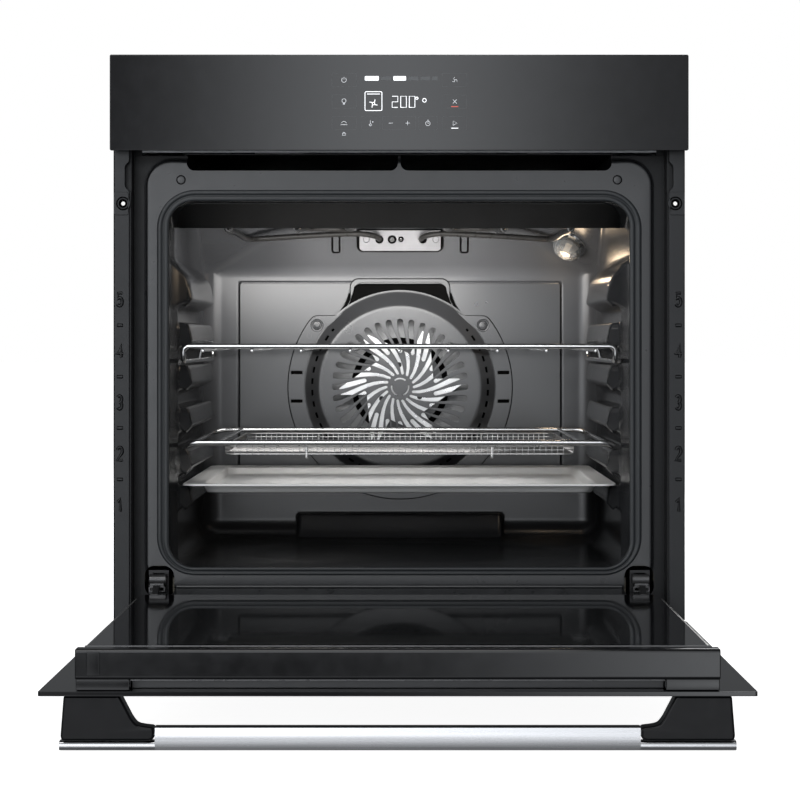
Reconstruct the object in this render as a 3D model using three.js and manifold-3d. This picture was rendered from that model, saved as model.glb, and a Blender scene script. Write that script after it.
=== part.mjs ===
// Built-in wall oven: control panel, cavity with racks and tray, and a drop-down door, stored open.
// Millimetres. +X is right, +Y runs towards the back and +Z is up. The origin is the middle of the
// base's front edge, in the plane of the cabinet's front.

import * as THREE from 'three';
import { mergeVertices } from 'three/addons/utils/BufferGeometryUtils.js';
import Module from 'manifold-3d';

const wasm = await Module();
wasm.setup();

// ---- Driving dimensions ----

const FRONT_HALF = 297.5;                    // half the width of the control panel and the door
const PANEL = { bottom: 496.5, top: 595, front: -22 };
const GLASS = 4;                             // thickness of each pane
const GAP = 0.3;                             // clearance between pieces that touch

const BODY = { half: 279.5, top: 579, back: 547, sheet: 0.8 };
const FLANGE = { inner: 279.7, outer: 296.5, front: -2.5, bottom: 10.5, top: 495.5 };
const FIXING = { x: 286, z: 443, radius: 3, boss: 1 };
const FRAME = { half: 279.2, bottom: 3, top: 495, channel: 28, sheet: 1.5 };
const PLATEAU = { half: 265, bottom: 42, top: 490, front: 18, radius: 14 };
const MOUTH = { half: 241.5, bottom: 63.5, top: 447.5, radius: 27 };
const VENT = { inner: 1.4, outer: 222, bottom: 478, radius: 8 };
const POCKET = { inner: 235.5, outer: 267, top: 65 };

const CAVITY = { half: 243, bottom: 62, top: 452, back: 438, radius: 25, wall: 1.2 };
const LIP = { front: 20, drop: 422, rear: 64 };
const SLOPE = { start: 386, lean: 0.303 };   // the back wall leans forward above this height
const CORNER = { side: 381, back: 92, front: 330 };
const RIB = { inner: 221.5, front: 73, rear: 362, height: 16, first: 169.5, pitch: 44.8, count: 5 };
const LEDGE_TOP = 148.2;

const FAN = { z: 245, coverFront: 427, coverRadius: 101, rimRadius: 116.5, flangeRadius: 135 };
const CHAMBER = { half: 188, bottom: 132, top: 358, back: 484, radius: 60 };
const BAFFLE = { half: 196, bottom: 123.5, top: 369.5, front: 436.3, back: 437.7 };
const SCREW = { x: 101.6, z: 320.2 };

const RACK = { half: 227.5, front: 38, rear: 411, bar: 2.7, rod: 1.7, rail: 3 };
const UPPER_RACK = { bar: 295, deck: 290.6, rail: 279.5 };
const BASKET_RACK = { bar: 193.6, rail: 189.3 };
const BASKET = { half: 186, front: 45, rear: 395, bottom: 180, top: 190.6, wall: 1 };
const TRAY = { half: 229, front: 35, rear: 411, rim: 150.3, floor: 139 };

const DOOR = {
  axisY: -13.75, axisZ: 14.75,               // the hinge line
  near: -4, far: -492, under: 6.5,           // outer pane, lying flat with the door open
  innerNear: -49, innerFar: -474, innerTop: 43, innerHalf: 262,
  sideHalf: 267.5, capTop: 45.5, capFront: -490,
};
const HOUSING = { half: 268, back: 27, bottom: 502, top: 573, wall: 2 };   // behind the control panel
const HANDLE = { half: 281, front: -484, back: -471, bottom: -40, top: -20, foot: -31.8 };
const HINGE = { x: 252.5, pin: 2, boss: 3.8 };

// ---- Materials ----

function finish(color, roughness, metalness) {
  return new THREE.MeshStandardMaterial({ color, roughness, metalness });
}

const MATERIALS = {
  frameEnamel: finish(0x6f7276, 0.42, 0.3),
  cavityEnamel: finish(0x55585c, 0.3, 0.35),
  blackGlass: finish(0x101114, 0.08, 0),
  clearGlass: finish(0x9aa4a8, 0.05, 0),
  blackPlastic: finish(0x1b1c1e, 0.5, 0),
  greyPlastic: finish(0x5c5f63, 0.5, 0.1),
  gasket: finish(0x606469, 0.7, 0),
  brushedSteel: finish(0xb9bbbd, 0.32, 0.9),
  chrome: finish(0xd4d6d8, 0.15, 1),
  zincSteel: finish(0x9b9ea1, 0.45, 0.8),
  traySteel: finish(0xc9cac8, 0.28, 0.85),
  wool: finish(0xd9cf9f, 0.95, 0),
  element: finish(0x4d4f52, 0.4, 0.7),
  ceramic: finish(0xe6e2d8, 0.6, 0),
  board: finish(0x2f6b45, 0.6, 0),
};

// ---- Solids ----

// Turns a three.js geometry into a closed solid, with its faces pointing out.
function toSolid(geometry) {
  const bare = geometry.clone();
  bare.deleteAttribute('normal');
  bare.deleteAttribute('uv');
  const merged = mergeVertices(bare, 1e-4);
  const index = merged.index.array;
  const corners = [];
  for (let i = 0; i < index.length; i += 3) {
    const [a, b, c] = index.slice(i, i + 3);
    if (a !== b && b !== c && c !== a) corners.push(a, b, c);
  }
  const vertProperties = new Float32Array(merged.attributes.position.array);
  const make = (list) => new wasm.Manifold(
    new wasm.Mesh({ numProp: 3, vertProperties, triVerts: new Uint32Array(list) }));
  const solid = make(corners);
  return solid.volume() > 0 ? solid : make(corners.reverse());
}

function toGeometry(solid) {
  const { vertProperties, triVerts } = solid.getMesh();
  const geometry = new THREE.BufferGeometry();
  geometry.setAttribute('position', new THREE.BufferAttribute(vertProperties.slice(), 3));
  geometry.setIndex(new THREE.BufferAttribute(triVerts.slice(), 1));
  geometry.computeVertexNormals();
  return geometry;
}

const mirrored = (solid) => toSolid(toGeometry(solid).scale(-1, 1, 1));
const join = (...solids) => solids.reduce((sum, next) => sum.add(next));
const cut = (solid, ...tools) => tools.reduce((rest, tool) => rest.subtract(tool), solid);
const withMirror = (solid) => join(solid, mirrored(solid));

function box(x0, x1, y0, y1, z0, z1) {
  const geometry = new THREE.BoxGeometry(x1 - x0, y1 - y0, z1 - z0);
  return toSolid(geometry.translate((x0 + x1) / 2, (y0 + y1) / 2, (z0 + z1) / 2));
}

function roundRect(x0, x1, y0, y1, radius) {
  const shape = new THREE.Shape();
  shape.absarc(x1 - radius, y0 + radius, radius, -Math.PI / 2, 0);
  shape.absarc(x1 - radius, y1 - radius, radius, 0, Math.PI / 2);
  shape.absarc(x0 + radius, y1 - radius, radius, Math.PI / 2, Math.PI);
  shape.absarc(x0 + radius, y0 + radius, radius, Math.PI, Math.PI * 1.5);
  return shape;
}

const polygon = (points) => new THREE.Shape(points.map(([a, b]) => new THREE.Vector2(a, b)));

function extrude(shape, depth, curveSegments = 3) {
  return new THREE.ExtrudeGeometry(shape, { depth, curveSegments, bevelEnabled: false });
}

// A shape in X and Z, swept along Y.
function alongY(shape, y0, y1, curveSegments) {
  return toSolid(extrude(shape, y1 - y0, curveSegments).rotateX(Math.PI / 2).translate(0, y1, 0));
}

// A shape in Y and Z, swept along X.
function alongX(shape, x0, x1, curveSegments) {
  const turn = new THREE.Matrix4().makeBasis(
    new THREE.Vector3(0, 1, 0), new THREE.Vector3(0, 0, 1), new THREE.Vector3(1, 0, 0));
  return toSolid(extrude(shape, x1 - x0, curveSegments).applyMatrix4(turn).translate(x0, 0, 0));
}

// A shape in X and Y, swept along Z.
function alongZ(shape, z0, z1, curveSegments) {
  return toSolid(extrude(shape, z1 - z0, curveSegments).translate(0, 0, z0));
}

function place(geometry, start, direction) {
  const up = new THREE.Vector3(0, 1, 0);
  const turn = new THREE.Quaternion().setFromUnitVectors(up, direction.clone().normalize());
  return toSolid(geometry.applyQuaternion(turn).translate(start.x, start.y, start.z));
}

function rod(from, to, radius, sides = 8) {
  const start = new THREE.Vector3(...from);
  const run = new THREE.Vector3(...to).sub(start);
  const geometry = new THREE.CylinderGeometry(radius, radius, run.length(), sides);
  return place(geometry.translate(0, run.length() / 2, 0), start, run);
}

// A profile of [radius, height] points, turned about an axis through start.
function turned(profile, start, direction, segments = 20) {
  const points = profile.map(([radius, height]) => new THREE.Vector2(radius, height));
  return place(new THREE.LatheGeometry(points, segments), start, direction);
}

// A round wire with six sides, along a smooth curve through the points.
function tube(points, radius, steps) {
  const section = new THREE.Shape();
  section.absarc(0, 0, radius, 0, Math.PI * 2);
  const path = new THREE.CatmullRomCurve3(points.map((p) => new THREE.Vector3(...p)));
  const options = { steps, curveSegments: 3, extrudePath: path, bevelEnabled: false };
  return toSolid(new THREE.ExtrudeGeometry(section, options));
}

// A path from its left half: the mirror image follows, without repeating a point on the middle.
function mirroredPath(half) {
  const back = half.filter(([x]) => x !== 0).reverse();
  return [...half, ...back.map(([x, y, z]) => [-x, y, z])];
}

const oven = new THREE.Group();

function add(name, solid, material) {
  const mesh = new THREE.Mesh(toGeometry(solid), material);
  mesh.name = name;
  oven.add(mesh);
}

// Adds a piece drawn on the right side, and its mirror image on the left.
function addPair(name, solid, material) {
  add(`${name}_right`, solid, material);
  add(`${name}_left`, mirrored(solid), material);
}

// ---- Front frame and casing ----

function frontFrame() {
  const { half, bottom, top, front, radius } = PLATEAU;
  const back = FRAME.channel + FRAME.sheet;
  const inset = 1.8;
  const plate = alongY(roundRect(-FRAME.half, FRAME.half, FRAME.bottom, FRAME.top, 3), FRAME.channel, back);
  const raised = alongY(roundRect(-half, half, bottom, top, radius), front, back);
  const hollow = alongY(
    roundRect(-half + inset, half - inset, bottom + inset, top - inset, radius - inset),
    front + inset, back + 1);
  const mouth = roundRect(-MOUTH.half, MOUTH.half, MOUTH.bottom, MOUTH.top, MOUTH.radius);
  const collar = roundRect(
    -MOUTH.half - 2, MOUTH.half + 2, MOUTH.bottom - 2, MOUTH.top + 2, MOUTH.radius + 2);
  const vent = roundRect(VENT.inner, VENT.outer, VENT.bottom, FRAME.top + 20, VENT.radius);
  const pocket = roundRect(POCKET.inner, POCKET.outer, bottom - 12, POCKET.top, 7);
  return cut(
    join(cut(join(plate, raised), hollow), alongY(collar, front, back)),
    alongY(mouth, front - 1, back + 1),
    withMirror(alongY(vent, front - 1, back + 1)),
    withMirror(alongY(pocket, front - 1, back + 1)));
}

function sideTrim() {
  const { inner, outer, front, bottom, top } = FLANGE;
  const flange = alongY(roundRect(inner, outer, bottom, top, 2.5), front, 0);
  const fold = box(inner, inner + 1.5, front, FRAME.channel - 0.5, bottom + 3, top - 3);
  const boss = alongY(
    roundRect(inner + 0.6, outer - 0.6, FIXING.z - 12, FIXING.z + 12, 2), front - FIXING.boss, -1);
  const hole = rod([FIXING.x, -10, FIXING.z], [FIXING.x, 10, FIXING.z], FIXING.radius, 12);
  return cut(join(flange, fold, boss), hole);
}

function louvres(y, z, count) {
  const slots = [];
  for (let i = 0; i < count; i += 1) {
    const x = (i - (count - 1) / 2) * 62;
    slots.push(box(x - 24, x + 24, y - 3, y + 3, z - 3, z + 3));
  }
  return join(...slots);
}

function casing() {
  const { half, top, back, sheet } = BODY;
  const start = FRAME.channel + FRAME.sheet + 0.8;
  const end = back - sheet - GAP;
  const side = box(half - sheet, half, start, end, sheet + GAP, top - sheet - GAP);
  addPair('casing', side, MATERIALS.zincSteel);
  const inside = half - sheet - GAP;
  const frontFold = box(-inside, inside, start, start + sheet, FRAME.top + 3.5, top);
  const cover = cut(
    join(box(-half, half, start, end, top - sheet, top), frontFold),
    louvres(500, top, 6), louvres(480, top, 6));
  add('casing_top', cover, MATERIALS.zincSteel);
  add('base_panel', cut(box(-half, half, -2.2, end, 0, sheet), louvres(90, 0, 5)), MATERIALS.zincSteel);
  const rear = cut(box(-half, half, back - sheet, back, 0, top), box(-215, -185, back - 3, back + 3, 530, 550));
  add('rear_panel', rear, MATERIALS.zincSteel);
  const partition = box(-half + 2, half - 2, start, end, 474.6, 475.6);
  add('top_partition', partition, MATERIALS.zincSteel);
  const terminal = cut(
    box(-232, -168, back + GAP, back + 14, 515, 565), box(-215, -185, back, back + 10, 512, 552));
  add('terminal_box', terminal, MATERIALS.blackPlastic);
}

// ---- Cavity ----

// The plane that cuts off the cavity's top rear corner, on the right side.
function cornerPlane() {
  const points = [
    new THREE.Vector3(CAVITY.half, CAVITY.back, CORNER.side),
    new THREE.Vector3(CORNER.back, CAVITY.back, CAVITY.top),
    new THREE.Vector3(CAVITY.half, CORNER.front, CAVITY.top),
  ];
  const plane = new THREE.Plane().setFromCoplanarPoints(...points);
  if (plane.normal.z < 0) plane.negate();
  return plane;
}

// What is behind the corner plane, moved outwards by grow.
function cornerBlock(grow) {
  const plane = cornerPlane();
  const depth = 200;
  const block = new THREE.BoxGeometry(800, depth, 800).translate(0, depth / 2, 0);
  const start = plane.normal.clone().multiplyScalar(grow - plane.constant);
  return place(block, start, plane.normal);
}

// The room inside the cavity, or with grow the volume that its walls enclose from outside.
function cavityRoom(grow) {
  const { half, bottom, top, back, radius } = CAVITY;
  const outline = roundRect(-half - grow, half + grow, bottom - grow, top + grow, radius + grow);
  const room = alongY(outline, FRAME.channel + FRAME.sheet + GAP, back + grow);
  const lip = alongX(polygon([
    [LIP.front, top + 20], [LIP.front, MOUTH.top + grow * 1.3], [LIP.rear - 4 + grow * 0.3, LIP.drop + grow],
    [LIP.rear - grow, LIP.drop + grow], [LIP.rear - grow, top + 20],
  ]), -half - 10, half + 10);
  const shift = grow * 1.05;
  const crest = SLOPE.start + 90;
  const slope = alongX(polygon([
    [back + shift, SLOPE.start], [back + shift - 90 * SLOPE.lean, crest], [back + 50, crest],
    [back + 50, SLOPE.start],
  ]), -half - 10, half + 10);
  return cut(room, lip, slope, withMirror(cornerBlock(grow)));
}

// One pressed-in shelf rib on the right wall. inset gives the hollow behind it.
function rib(bottom, top, inset) {
  const wall = CAVITY.half + 1 + inset;
  const outline = polygon([
    [wall, RIB.front - 13 + inset * 2], [wall, RIB.rear + 13 - inset * 2],
    [RIB.inner + inset, RIB.rear - inset], [RIB.inner + inset, RIB.front + inset],
  ]);
  return alongZ(outline, bottom + inset, top - inset);
}

function ribs(inset) {
  const list = [rib(LEDGE_TOP - RIB.height, LEDGE_TOP, inset)];
  for (let i = 0; i < RIB.count; i += 1) {
    const bottom = RIB.first + i * RIB.pitch;
    list.push(rib(bottom, bottom + RIB.height, inset));
  }
  return withMirror(join(...list));
}

function chamberRoom(grow) {
  const { half, bottom, top, back, radius } = CHAMBER;
  const outline = roundRect(-half - grow, half + grow, bottom - grow, top + grow, radius + grow);
  return alongY(outline, CAVITY.back - 1, back + grow);
}

const LEGS = {
  ring: [[-10, FAN.z + 97], [10, FAN.z + 97]],
  grill: [[-30, 425], [30, 425]],
  probe: [[150, 300]],
  shaft: [[0, FAN.z]],
};

// Holes for the heater legs, the probe and the fan shaft, through the rear walls.
function rearHoles(radius, y0, y1) {
  const spots = [...LEGS.ring, ...LEGS.grill, ...LEGS.probe];
  const holes = spots.map(([x, z]) => rod([x, y0, z], [x, y1, z], radius));
  const [[shaftX, shaftZ]] = LEGS.shaft;
  return join(...holes, rod([shaftX, y0, shaftZ], [shaftX, y1, shaftZ], radius + 3, 10));
}

function lampSpot() {
  const wanted = new THREE.Vector3(203, 405, 414);
  return cornerPlane().projectPoint(wanted, new THREE.Vector3());
}

function cavityShell() {
  const room = cut(join(cavityRoom(0), chamberRoom(0)), ribs(0));
  const outside = join(cavityRoom(CAVITY.wall), chamberRoom(CAVITY.wall));
  const spot = lampSpot();
  const { normal } = cornerPlane();
  const lampHole = turned([[0, -8], [15, -8], [15, 8], [0, 8]], spot, normal, 14);
  return cut(outside, room, ribs(CAVITY.wall), lampHole, rearHoles(4.2, 400, 500));
}

function insulation() {
  const outer = alongY(roundRect(-272, 272, 36, 474, 28), 33, 500);
  const inner = alongY(roundRect(-247, 247, 44, 456, 30), 32, 442);
  const chamber = chamberRoom(CAVITY.wall + 1.5);
  const bottomLegs = withMirror(rod([25, 430, 52], [25, 510, 52], 5));
  const hinges = withMirror(box(238, 267, 30, 84, 30, 64));
  return cut(outer, inner, chamber, rearHoles(6, 430, 510), bottomLegs, hinges);
}

function gasket() {
  const outer = roundRect(-253, 253, 56, 458.3, 40);
  const inner = roundRect(-240.5, 240.5, 64.5, 446.5, 26);
  return cut(alongY(outer, 15, PLATEAU.front - GAP, 4), alongY(inner, 10, 20, 4));
}

// ---- Hot-air fan behind the back wall ----

// The opening above the fan cover, where the air leaves, as an outline in X and Z.
function airNotch(grow) {
  return polygon([
    [-50 - grow, 376 + grow], [-57 - grow, 366], [-60 - grow, 350], [-86, 326 + grow], [86, 326 + grow],
    [60 + grow, 350], [57 + grow, 366], [50 + grow, 376 + grow],
  ]);
}

function bafflePlate() {
  const { half, bottom, top, front, back } = BAFFLE;
  const sheet = join(
    alongY(roundRect(-half, half, bottom, top, 10), front, back), alongY(airNotch(4), front, back));
  const screws = withMirror(rod([SCREW.x, front - 5, SCREW.z], [SCREW.x, back + 5, SCREW.z], 3));
  const opening = rod([0, front - 5, FAN.z], [0, back + 5, FAN.z], FAN.rimRadius - 1, 32);
  return cut(sheet, opening, alongY(airNotch(0), front - 5, back + 5), screws);
}

function fanCover() {
  const { z, coverFront, coverRadius, rimRadius, flangeRadius } = FAN;
  const sheet = 1.3;
  const rear = BAFFLE.front - GAP;
  const start = new THREE.Vector3(0, 0, z);
  const dish = turned([
    [0, coverFront], [coverRadius, coverFront], [rimRadius, rear - sheet], [flangeRadius, rear - sheet],
    [flangeRadius, rear], [rimRadius - 0.6, rear], [coverRadius - 0.5, coverFront + sheet],
    [0, coverFront + sheet],
  ], start, new THREE.Vector3(0, 1, 0), 36);
  const slots = [];
  const count = 16;
  for (let i = 0; i < count; i += 1) {
    const slot = new THREE.BoxGeometry(4, 10, 58).rotateY(0.35).translate(0, coverFront, 50);
    slots.push(toSolid(slot.rotateY((i / count) * Math.PI * 2).translate(0, 0, z)));
  }
  const sideSlot = (height) => box(119, 130, rear - 5, rear + 5, height - 2.5, height + 2.5);
  const screws = withMirror(rod([SCREW.x, rear - 5, SCREW.z], [SCREW.x, rear + 5, SCREW.z], 3));
  const notch = cut(
    join(alongY(airNotch(0), rear - 5, rear + 2), box(-57, 57, rear - 5, rear + 2, 366, 400)),
    rod([0, rear - 9, z], [0, rear + 5, z], rimRadius, 36));
  return cut(dish, ...slots, withMirror(join(sideSlot(z + 17.5), sideSlot(z - 17.5))), screws, notch);
}

function coverScrew() {
  const start = new THREE.Vector3(SCREW.x, 0, SCREW.z);
  return turned([
    [0, 431], [4.2, 431], [5.4, 432.2], [5.4, 434.3], [2.5, 434.3], [2.5, 437.6], [0, 437.6],
  ], start, new THREE.Vector3(0, 1, 0), 10);
}

function impeller() {
  const start = new THREE.Vector3(0, 0, FAN.z);
  const back = 466;
  const disc = turned([
    [4.4, back - 20], [9, back - 20], [9, back - 1.5], [72, back - 1.5], [72, back], [4.4, back],
    [4.4, back - 20],
  ], start, new THREE.Vector3(0, 1, 0), 20);
  const blades = [];
  const count = 10;
  for (let i = 0; i < count; i += 1) {
    const blade = new THREE.BoxGeometry(1.6, 22, 36).rotateY(0.5).translate(0, back - 12, 52);
    blades.push(toSolid(blade.rotateY((i / count) * Math.PI * 2).translate(0, 0, FAN.z)));
  }
  return join(disc, ...blades);
}

function ringElement() {
  const radius = 97;
  const depth = 456;
  const height = FAN.z + radius;
  const points = [505, 494, 482, 470].map((y) => [-10, y, height]);
  const turns = 20;
  for (let i = 1; i < turns; i += 1) {
    const angle = Math.PI / 2 + (i / turns) * Math.PI * 2;
    points.push([Math.cos(angle) * radius, depth, FAN.z + Math.sin(angle) * radius]);
  }
  points.push(...[470, 482, 494, 505].map((y) => [10, y, height]));
  return tube(points, 3.2, 56);
}

function convectionUnit() {
  add('baffle_plate', bafflePlate(), MATERIALS.cavityEnamel);
  add('fan_cover', fanCover(), MATERIALS.cavityEnamel);
  addPair('fan_cover_screw', coverScrew(), MATERIALS.zincSteel);
  add('fan_impeller', impeller(), MATERIALS.brushedSteel);
  add('fan_shaft', rod([0, 447, FAN.z], [0, 520, FAN.z], 4, 10), MATERIALS.zincSteel);
  add('ring_element', ringElement(), MATERIALS.element);
  const motor = turned([
    [4.6, 501], [34, 501], [34, 503], [27, 504], [27, 536], [20, 541], [0, 541], [0, 523], [4.6, 523],
    [4.6, 501],
  ], new THREE.Vector3(0, 0, FAN.z), new THREE.Vector3(0, 1, 0), 18);
  add('fan_motor', motor, MATERIALS.zincSteel);
  const [[probeX, probeZ]] = LEGS.probe;
  add('temperature_probe', rod([probeX, 446, probeZ], [probeX, 508, probeZ], 2.5), MATERIALS.zincSteel);
}

// ---- Heating elements and lamp ----

function grillElement() {
  const front = 84;
  return tube(mirroredPath([
    [-30, 508, 425], [-30, 470, 425], [-30, 440, 425], [-30, 421, 425], [-36, 409, 425], [-60, 405, 426],
    [-165, 402, 426], [-184, 386, 425],
    [-186, 240, 424], [-186, 104, 423], [-181, front, 432], [-148, front, 438], [-115, front, 432],
    [-110, 104, 424], [-110, 240, 427], [-109, 366, 431], [-83, 388, 432], [-57, 366, 431],
    [-56, 240, 429], [-56, 104, 428], [-48, front, 434], [0, front, 438],
  ]), 3.4, 96);
}

function elementBracket() {
  const lean = Math.atan(SLOPE.lean);
  const foot = CAVITY.back - (413 - SLOPE.start) * SLOPE.lean - 2.6;
  const plate = new THREE.BoxGeometry(106, 1.5, 24).translate(0, 0.75, 12).rotateX(lean);
  const legs = withMirror(rod([30, 400, 425], [30, 450, 425], 5));
  return cut(toSolid(plate.translate(0, foot, 413)), legs);
}

function bottomElement() {
  const z = 52;
  return tube(mirroredPath([
    [-25, 508, z], [-25, 475, z], [-25, 445, z], [-25, 416, z], [-45, 396, z], [-140, 390, z], [-160, 370, z], [-160, 120, z],
    [-145, 100, z], [-65, 100, z], [-50, 120, z], [-50, 320, z], [-35, 340, z], [0, 342, z],
  ]), 3.2, 60);
}

function lamp() {
  const spot = lampSpot();
  const { normal } = cornerPlane();
  const inward = normal.clone().negate();
  const socket = turned([
    [0, -24], [13, -24], [13, -4], [14.2, -4], [14.2, 1], [0, 1],
  ], spot, inward, 14);
  add('lamp_socket', socket, MATERIALS.ceramic);
  const bulb = turned([[0, 1.4], [3.2, 1.4], [4.4, 5], [4.4, 11], [2, 14], [0, 14.4]], spot, inward, 10);
  add('lamp_bulb', bulb, MATERIALS.clearGlass);
  const dome = turned([
    [16.4, 0.4], [19.5, 0.4], [19.2, 8], [16, 14], [9, 18], [0, 19], [0, 17], [8, 16], [14.4, 12.4],
    [16.8, 7], [16.4, 0.4],
  ], spot, inward, 16);
  add('lamp_glass', dome, MATERIALS.clearGlass);
}

// ---- Cooling blower and electronics above the cavity ----

const BLOWER = { y: 345, z: 520, half: 95 };

function blowerHousing() {
  const scroll = rod([-112, BLOWER.y, BLOWER.z], [112, BLOWER.y, BLOWER.z], 38.5, 16);
  const shell = join(scroll, box(-112, 112, 300.5, 345, 477, 496));
  const room = rod([-110, BLOWER.y, BLOWER.z], [110, BLOWER.y, BLOWER.z], 37, 16);
  const outlet = box(-110, 110, 290, 345, 479, 494);
  const intake = box(-90, 90, 330, 360, 540, 570);
  const shaft = rod([105, BLOWER.y, BLOWER.z], [120, BLOWER.y, BLOWER.z], 6);
  return cut(shell, room, outlet, intake, shaft);
}

function blowerWheel() {
  const { y, z, half } = BLOWER;
  const disc = (x) => rod([x, y, z], [x + 2, y, z], 30, 20);
  const blades = [];
  const count = 12;
  for (let i = 0; i < count; i += 1) {
    const blade = new THREE.BoxGeometry(half * 2, 1.4, 9).rotateX(0.5).translate(0, 0, 25);
    blades.push(toSolid(blade.rotateX((i / count) * Math.PI * 2).translate(0, y, z)));
  }
  const hub = rod([-half, y, z], [124, y, z], 3, 8);
  return join(disc(-half), disc(half - 2), hub, ...blades);
}

function coolingUnit() {
  const ductStart = FRAME.channel + FRAME.sheet + GAP;
  const duct = cut(
    box(-224, 224, ductStart, 300, 476.2, 497), box(-223.2, 223.2, ductStart - 5, 305, 477, 496.2));
  add('air_duct', duct, MATERIALS.zincSteel);
  add('blower_housing', blowerHousing(), MATERIALS.zincSteel);
  add('blower_wheel', blowerWheel(), MATERIALS.blackPlastic);
  const motor = turned([
    [3.6, 113], [22, 113], [22, 150], [0, 150], [0, 128], [3.6, 128], [3.6, 113],
  ], new THREE.Vector3(0, BLOWER.y, BLOWER.z), new THREE.Vector3(1, 0, 0), 16);
  add('blower_motor', motor, MATERIALS.zincSteel);
}

function controls() {
  const { bottom, top, front } = PANEL;
  const back = front + GLASS;
  const pane = alongY(roundRect(-FRONT_HALF, FRONT_HALF, bottom, top, 1.5), front, back, 2);
  add('control_glass', pane, MATERIALS.blackGlass);
  const plateBack = back + 3.5;
  const plate = box(-290, 290, back + GAP, plateBack, 499.5, 592);
  const { half, wall } = HOUSING;
  const bay = cut(
    box(-half, half, plateBack - 0.5, HOUSING.back, HOUSING.bottom, HOUSING.top),
    box(-half + wall, half - wall, plateBack, HOUSING.back + 3, HOUSING.bottom + wall, HOUSING.top - wall));
  add('control_carrier', join(plate, bay), MATERIALS.blackPlastic);
  add('control_board', box(-143, 143, -6, -4.4, 509, 566), MATERIALS.board);
  const heatSink = box(-232, -172, 392, 422, 485, 505);
  add('power_board', join(box(-245, -135, 350, 470, 483.4, 485), heatSink), MATERIALS.board);
}

// ---- Racks and tray ----

// The bent wire frame that every rack has: front bar, rear bar and two side rails.
function wireFrame(barZ, rearZ, railZ) {
  const { half, front, rear, bar, rail } = RACK;
  const corner = half - 14;
  const side = join(
    rod([half, front + 6, railZ], [half, rear - 6, railZ], rail),
    rod([half, front + 5, railZ - 0.5], [corner, front, barZ], bar),
    rod([half, rear - 5, railZ - 0.5], [corner, rear, rearZ], bar));
  return join(
    withMirror(side), rod([-corner, front, barZ], [corner, front, barZ], bar),
    rod([-corner, rear, rearZ], [corner, rear, rearZ], bar));
}

function upperRack() {
  const { bar, deck, rail } = UPPER_RACK;
  const rods = [];
  const pitch = 51.7;
  for (let i = -4; i <= 4; i += 1) {
    rods.push(rod([i * pitch, RACK.front - 1, deck], [i * pitch, RACK.rear + 1, deck], RACK.rod, 6));
  }
  const cross = rod([-RACK.half, 225, deck - 3.5], [RACK.half, 225, deck - 3.5], RACK.rod + 0.6, 6);
  const posts = withMirror(rod([RACK.half, 225, rail], [RACK.half, 225, deck - 2], RACK.rod + 0.6, 6));
  return join(wireFrame(bar, deck, rail), ...rods, cross, posts);
}

function basketFrame() {
  const { bar, rail } = BASKET_RACK;
  const bearers = withMirror(rod([192, RACK.front, bar], [192, RACK.rear, bar], 2.2, 6));
  return join(wireFrame(bar, bar, rail), bearers);
}

function meshBasket() {
  const { half, front, rear, bottom, top, wall } = BASKET;
  const outer = alongZ(roundRect(-half, half, front, rear, 14), bottom, top, 3);
  const inner = alongZ(
    roundRect(-half + wall, half - wall, front + wall, rear - wall, 12.5), bottom + wall, top + 5, 3);
  const foot = (y) => box(96.5, 99.5, y, y + 3, bottom - 3.5, bottom + 1);
  return join(cut(outer, inner), withMirror(join(foot(front + 1), foot(rear - 4))));
}

function bakingTray() {
  const { half, front, rear, rim, floor } = TRAY;
  const slab = (inset, radius, z0, z1) => alongZ(
    roundRect(-half + inset, half - inset, front + inset, rear - inset, radius), z0, z1, 4);
  return cut(join(slab(0, 14, rim - 1, rim), slab(20, 12, floor, rim)), slab(21, 11, floor + 1, rim + 5));
}

// ---- Door, lying open ----

function doorPane(half, near, far, bottom, radius) {
  return alongZ(roundRect(-half, half, far, near, radius), bottom, bottom + GLASS, 2);
}

function doorCap() {
  const { sideHalf, capTop, capFront, under } = DOOR;
  const floor = under + GLASS + GAP;
  const bar = alongX(polygon([
    [capFront, 19.6], [-474.4, 19.6], [-474.4, capTop - 0.6], [-476, capTop], [capFront + 3, capTop],
    [capFront, capTop - 3],
  ]), -sideHalf + 0.5, sideHalf - 0.5);
  const endBlock = box(222, sideHalf - 0.5, capFront + 1.5, -474.4, floor, 21);
  return join(bar, withMirror(endBlock));
}

function sideProfile() {
  const { under, sideHalf, innerTop, innerNear } = DOOR;
  const floor = under + GLASS + GAP;
  const top = innerTop - GLASS - GAP;
  const far = -473.9;
  return join(
    box(sideHalf - 2.2, sideHalf, far, innerNear, floor, top),
    box(240, sideHalf, far, innerNear, top - 2, top));
}

function bottomRail() {
  const { under, innerTop } = DOOR;
  const floor = under + GLASS + GAP;
  const top = innerTop - GLASS - GAP;
  return join(
    box(-238.5, 238.5, -51, -49, floor, top), box(-238.5, 238.5, -60, -49, floor, floor + 1.6),
    box(-238.5, 238.5, -60, -49, top - 1.6, top));
}

function handlePost() {
  const outline = polygon([
    [231, 6.2], [277, 6.2], [280, -31.5], [206, -31.5], [202.5, -29], [202, -21], [212.5, -19],
    [221, -14],
  ]);
  return alongY(outline, HANDLE.front - 3, HANDLE.back + 3);
}

function handleBar() {
  const { half, front, back, bottom, top, foot } = HANDLE;
  const full = box(-half, half, front, back, bottom, foot);
  return join(full, box(-201.7, 201.7, front, back, bottom, top));
}

function hingeChannel() {
  const { axisY, axisZ } = DOOR;
  const wall = (x) => box(x, x + 2, -230, -7, 11, 35.5);
  const web = box(241, 264, -230, -42, 11, 12.5);
  const flange = box(241, 264, -230, -62, 34, 35.5);
  const pin = rod([242, axisY, axisZ], [263, axisY, axisZ], HINGE.pin, 10);
  return join(wall(241), wall(262), web, flange, pin);
}

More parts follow.
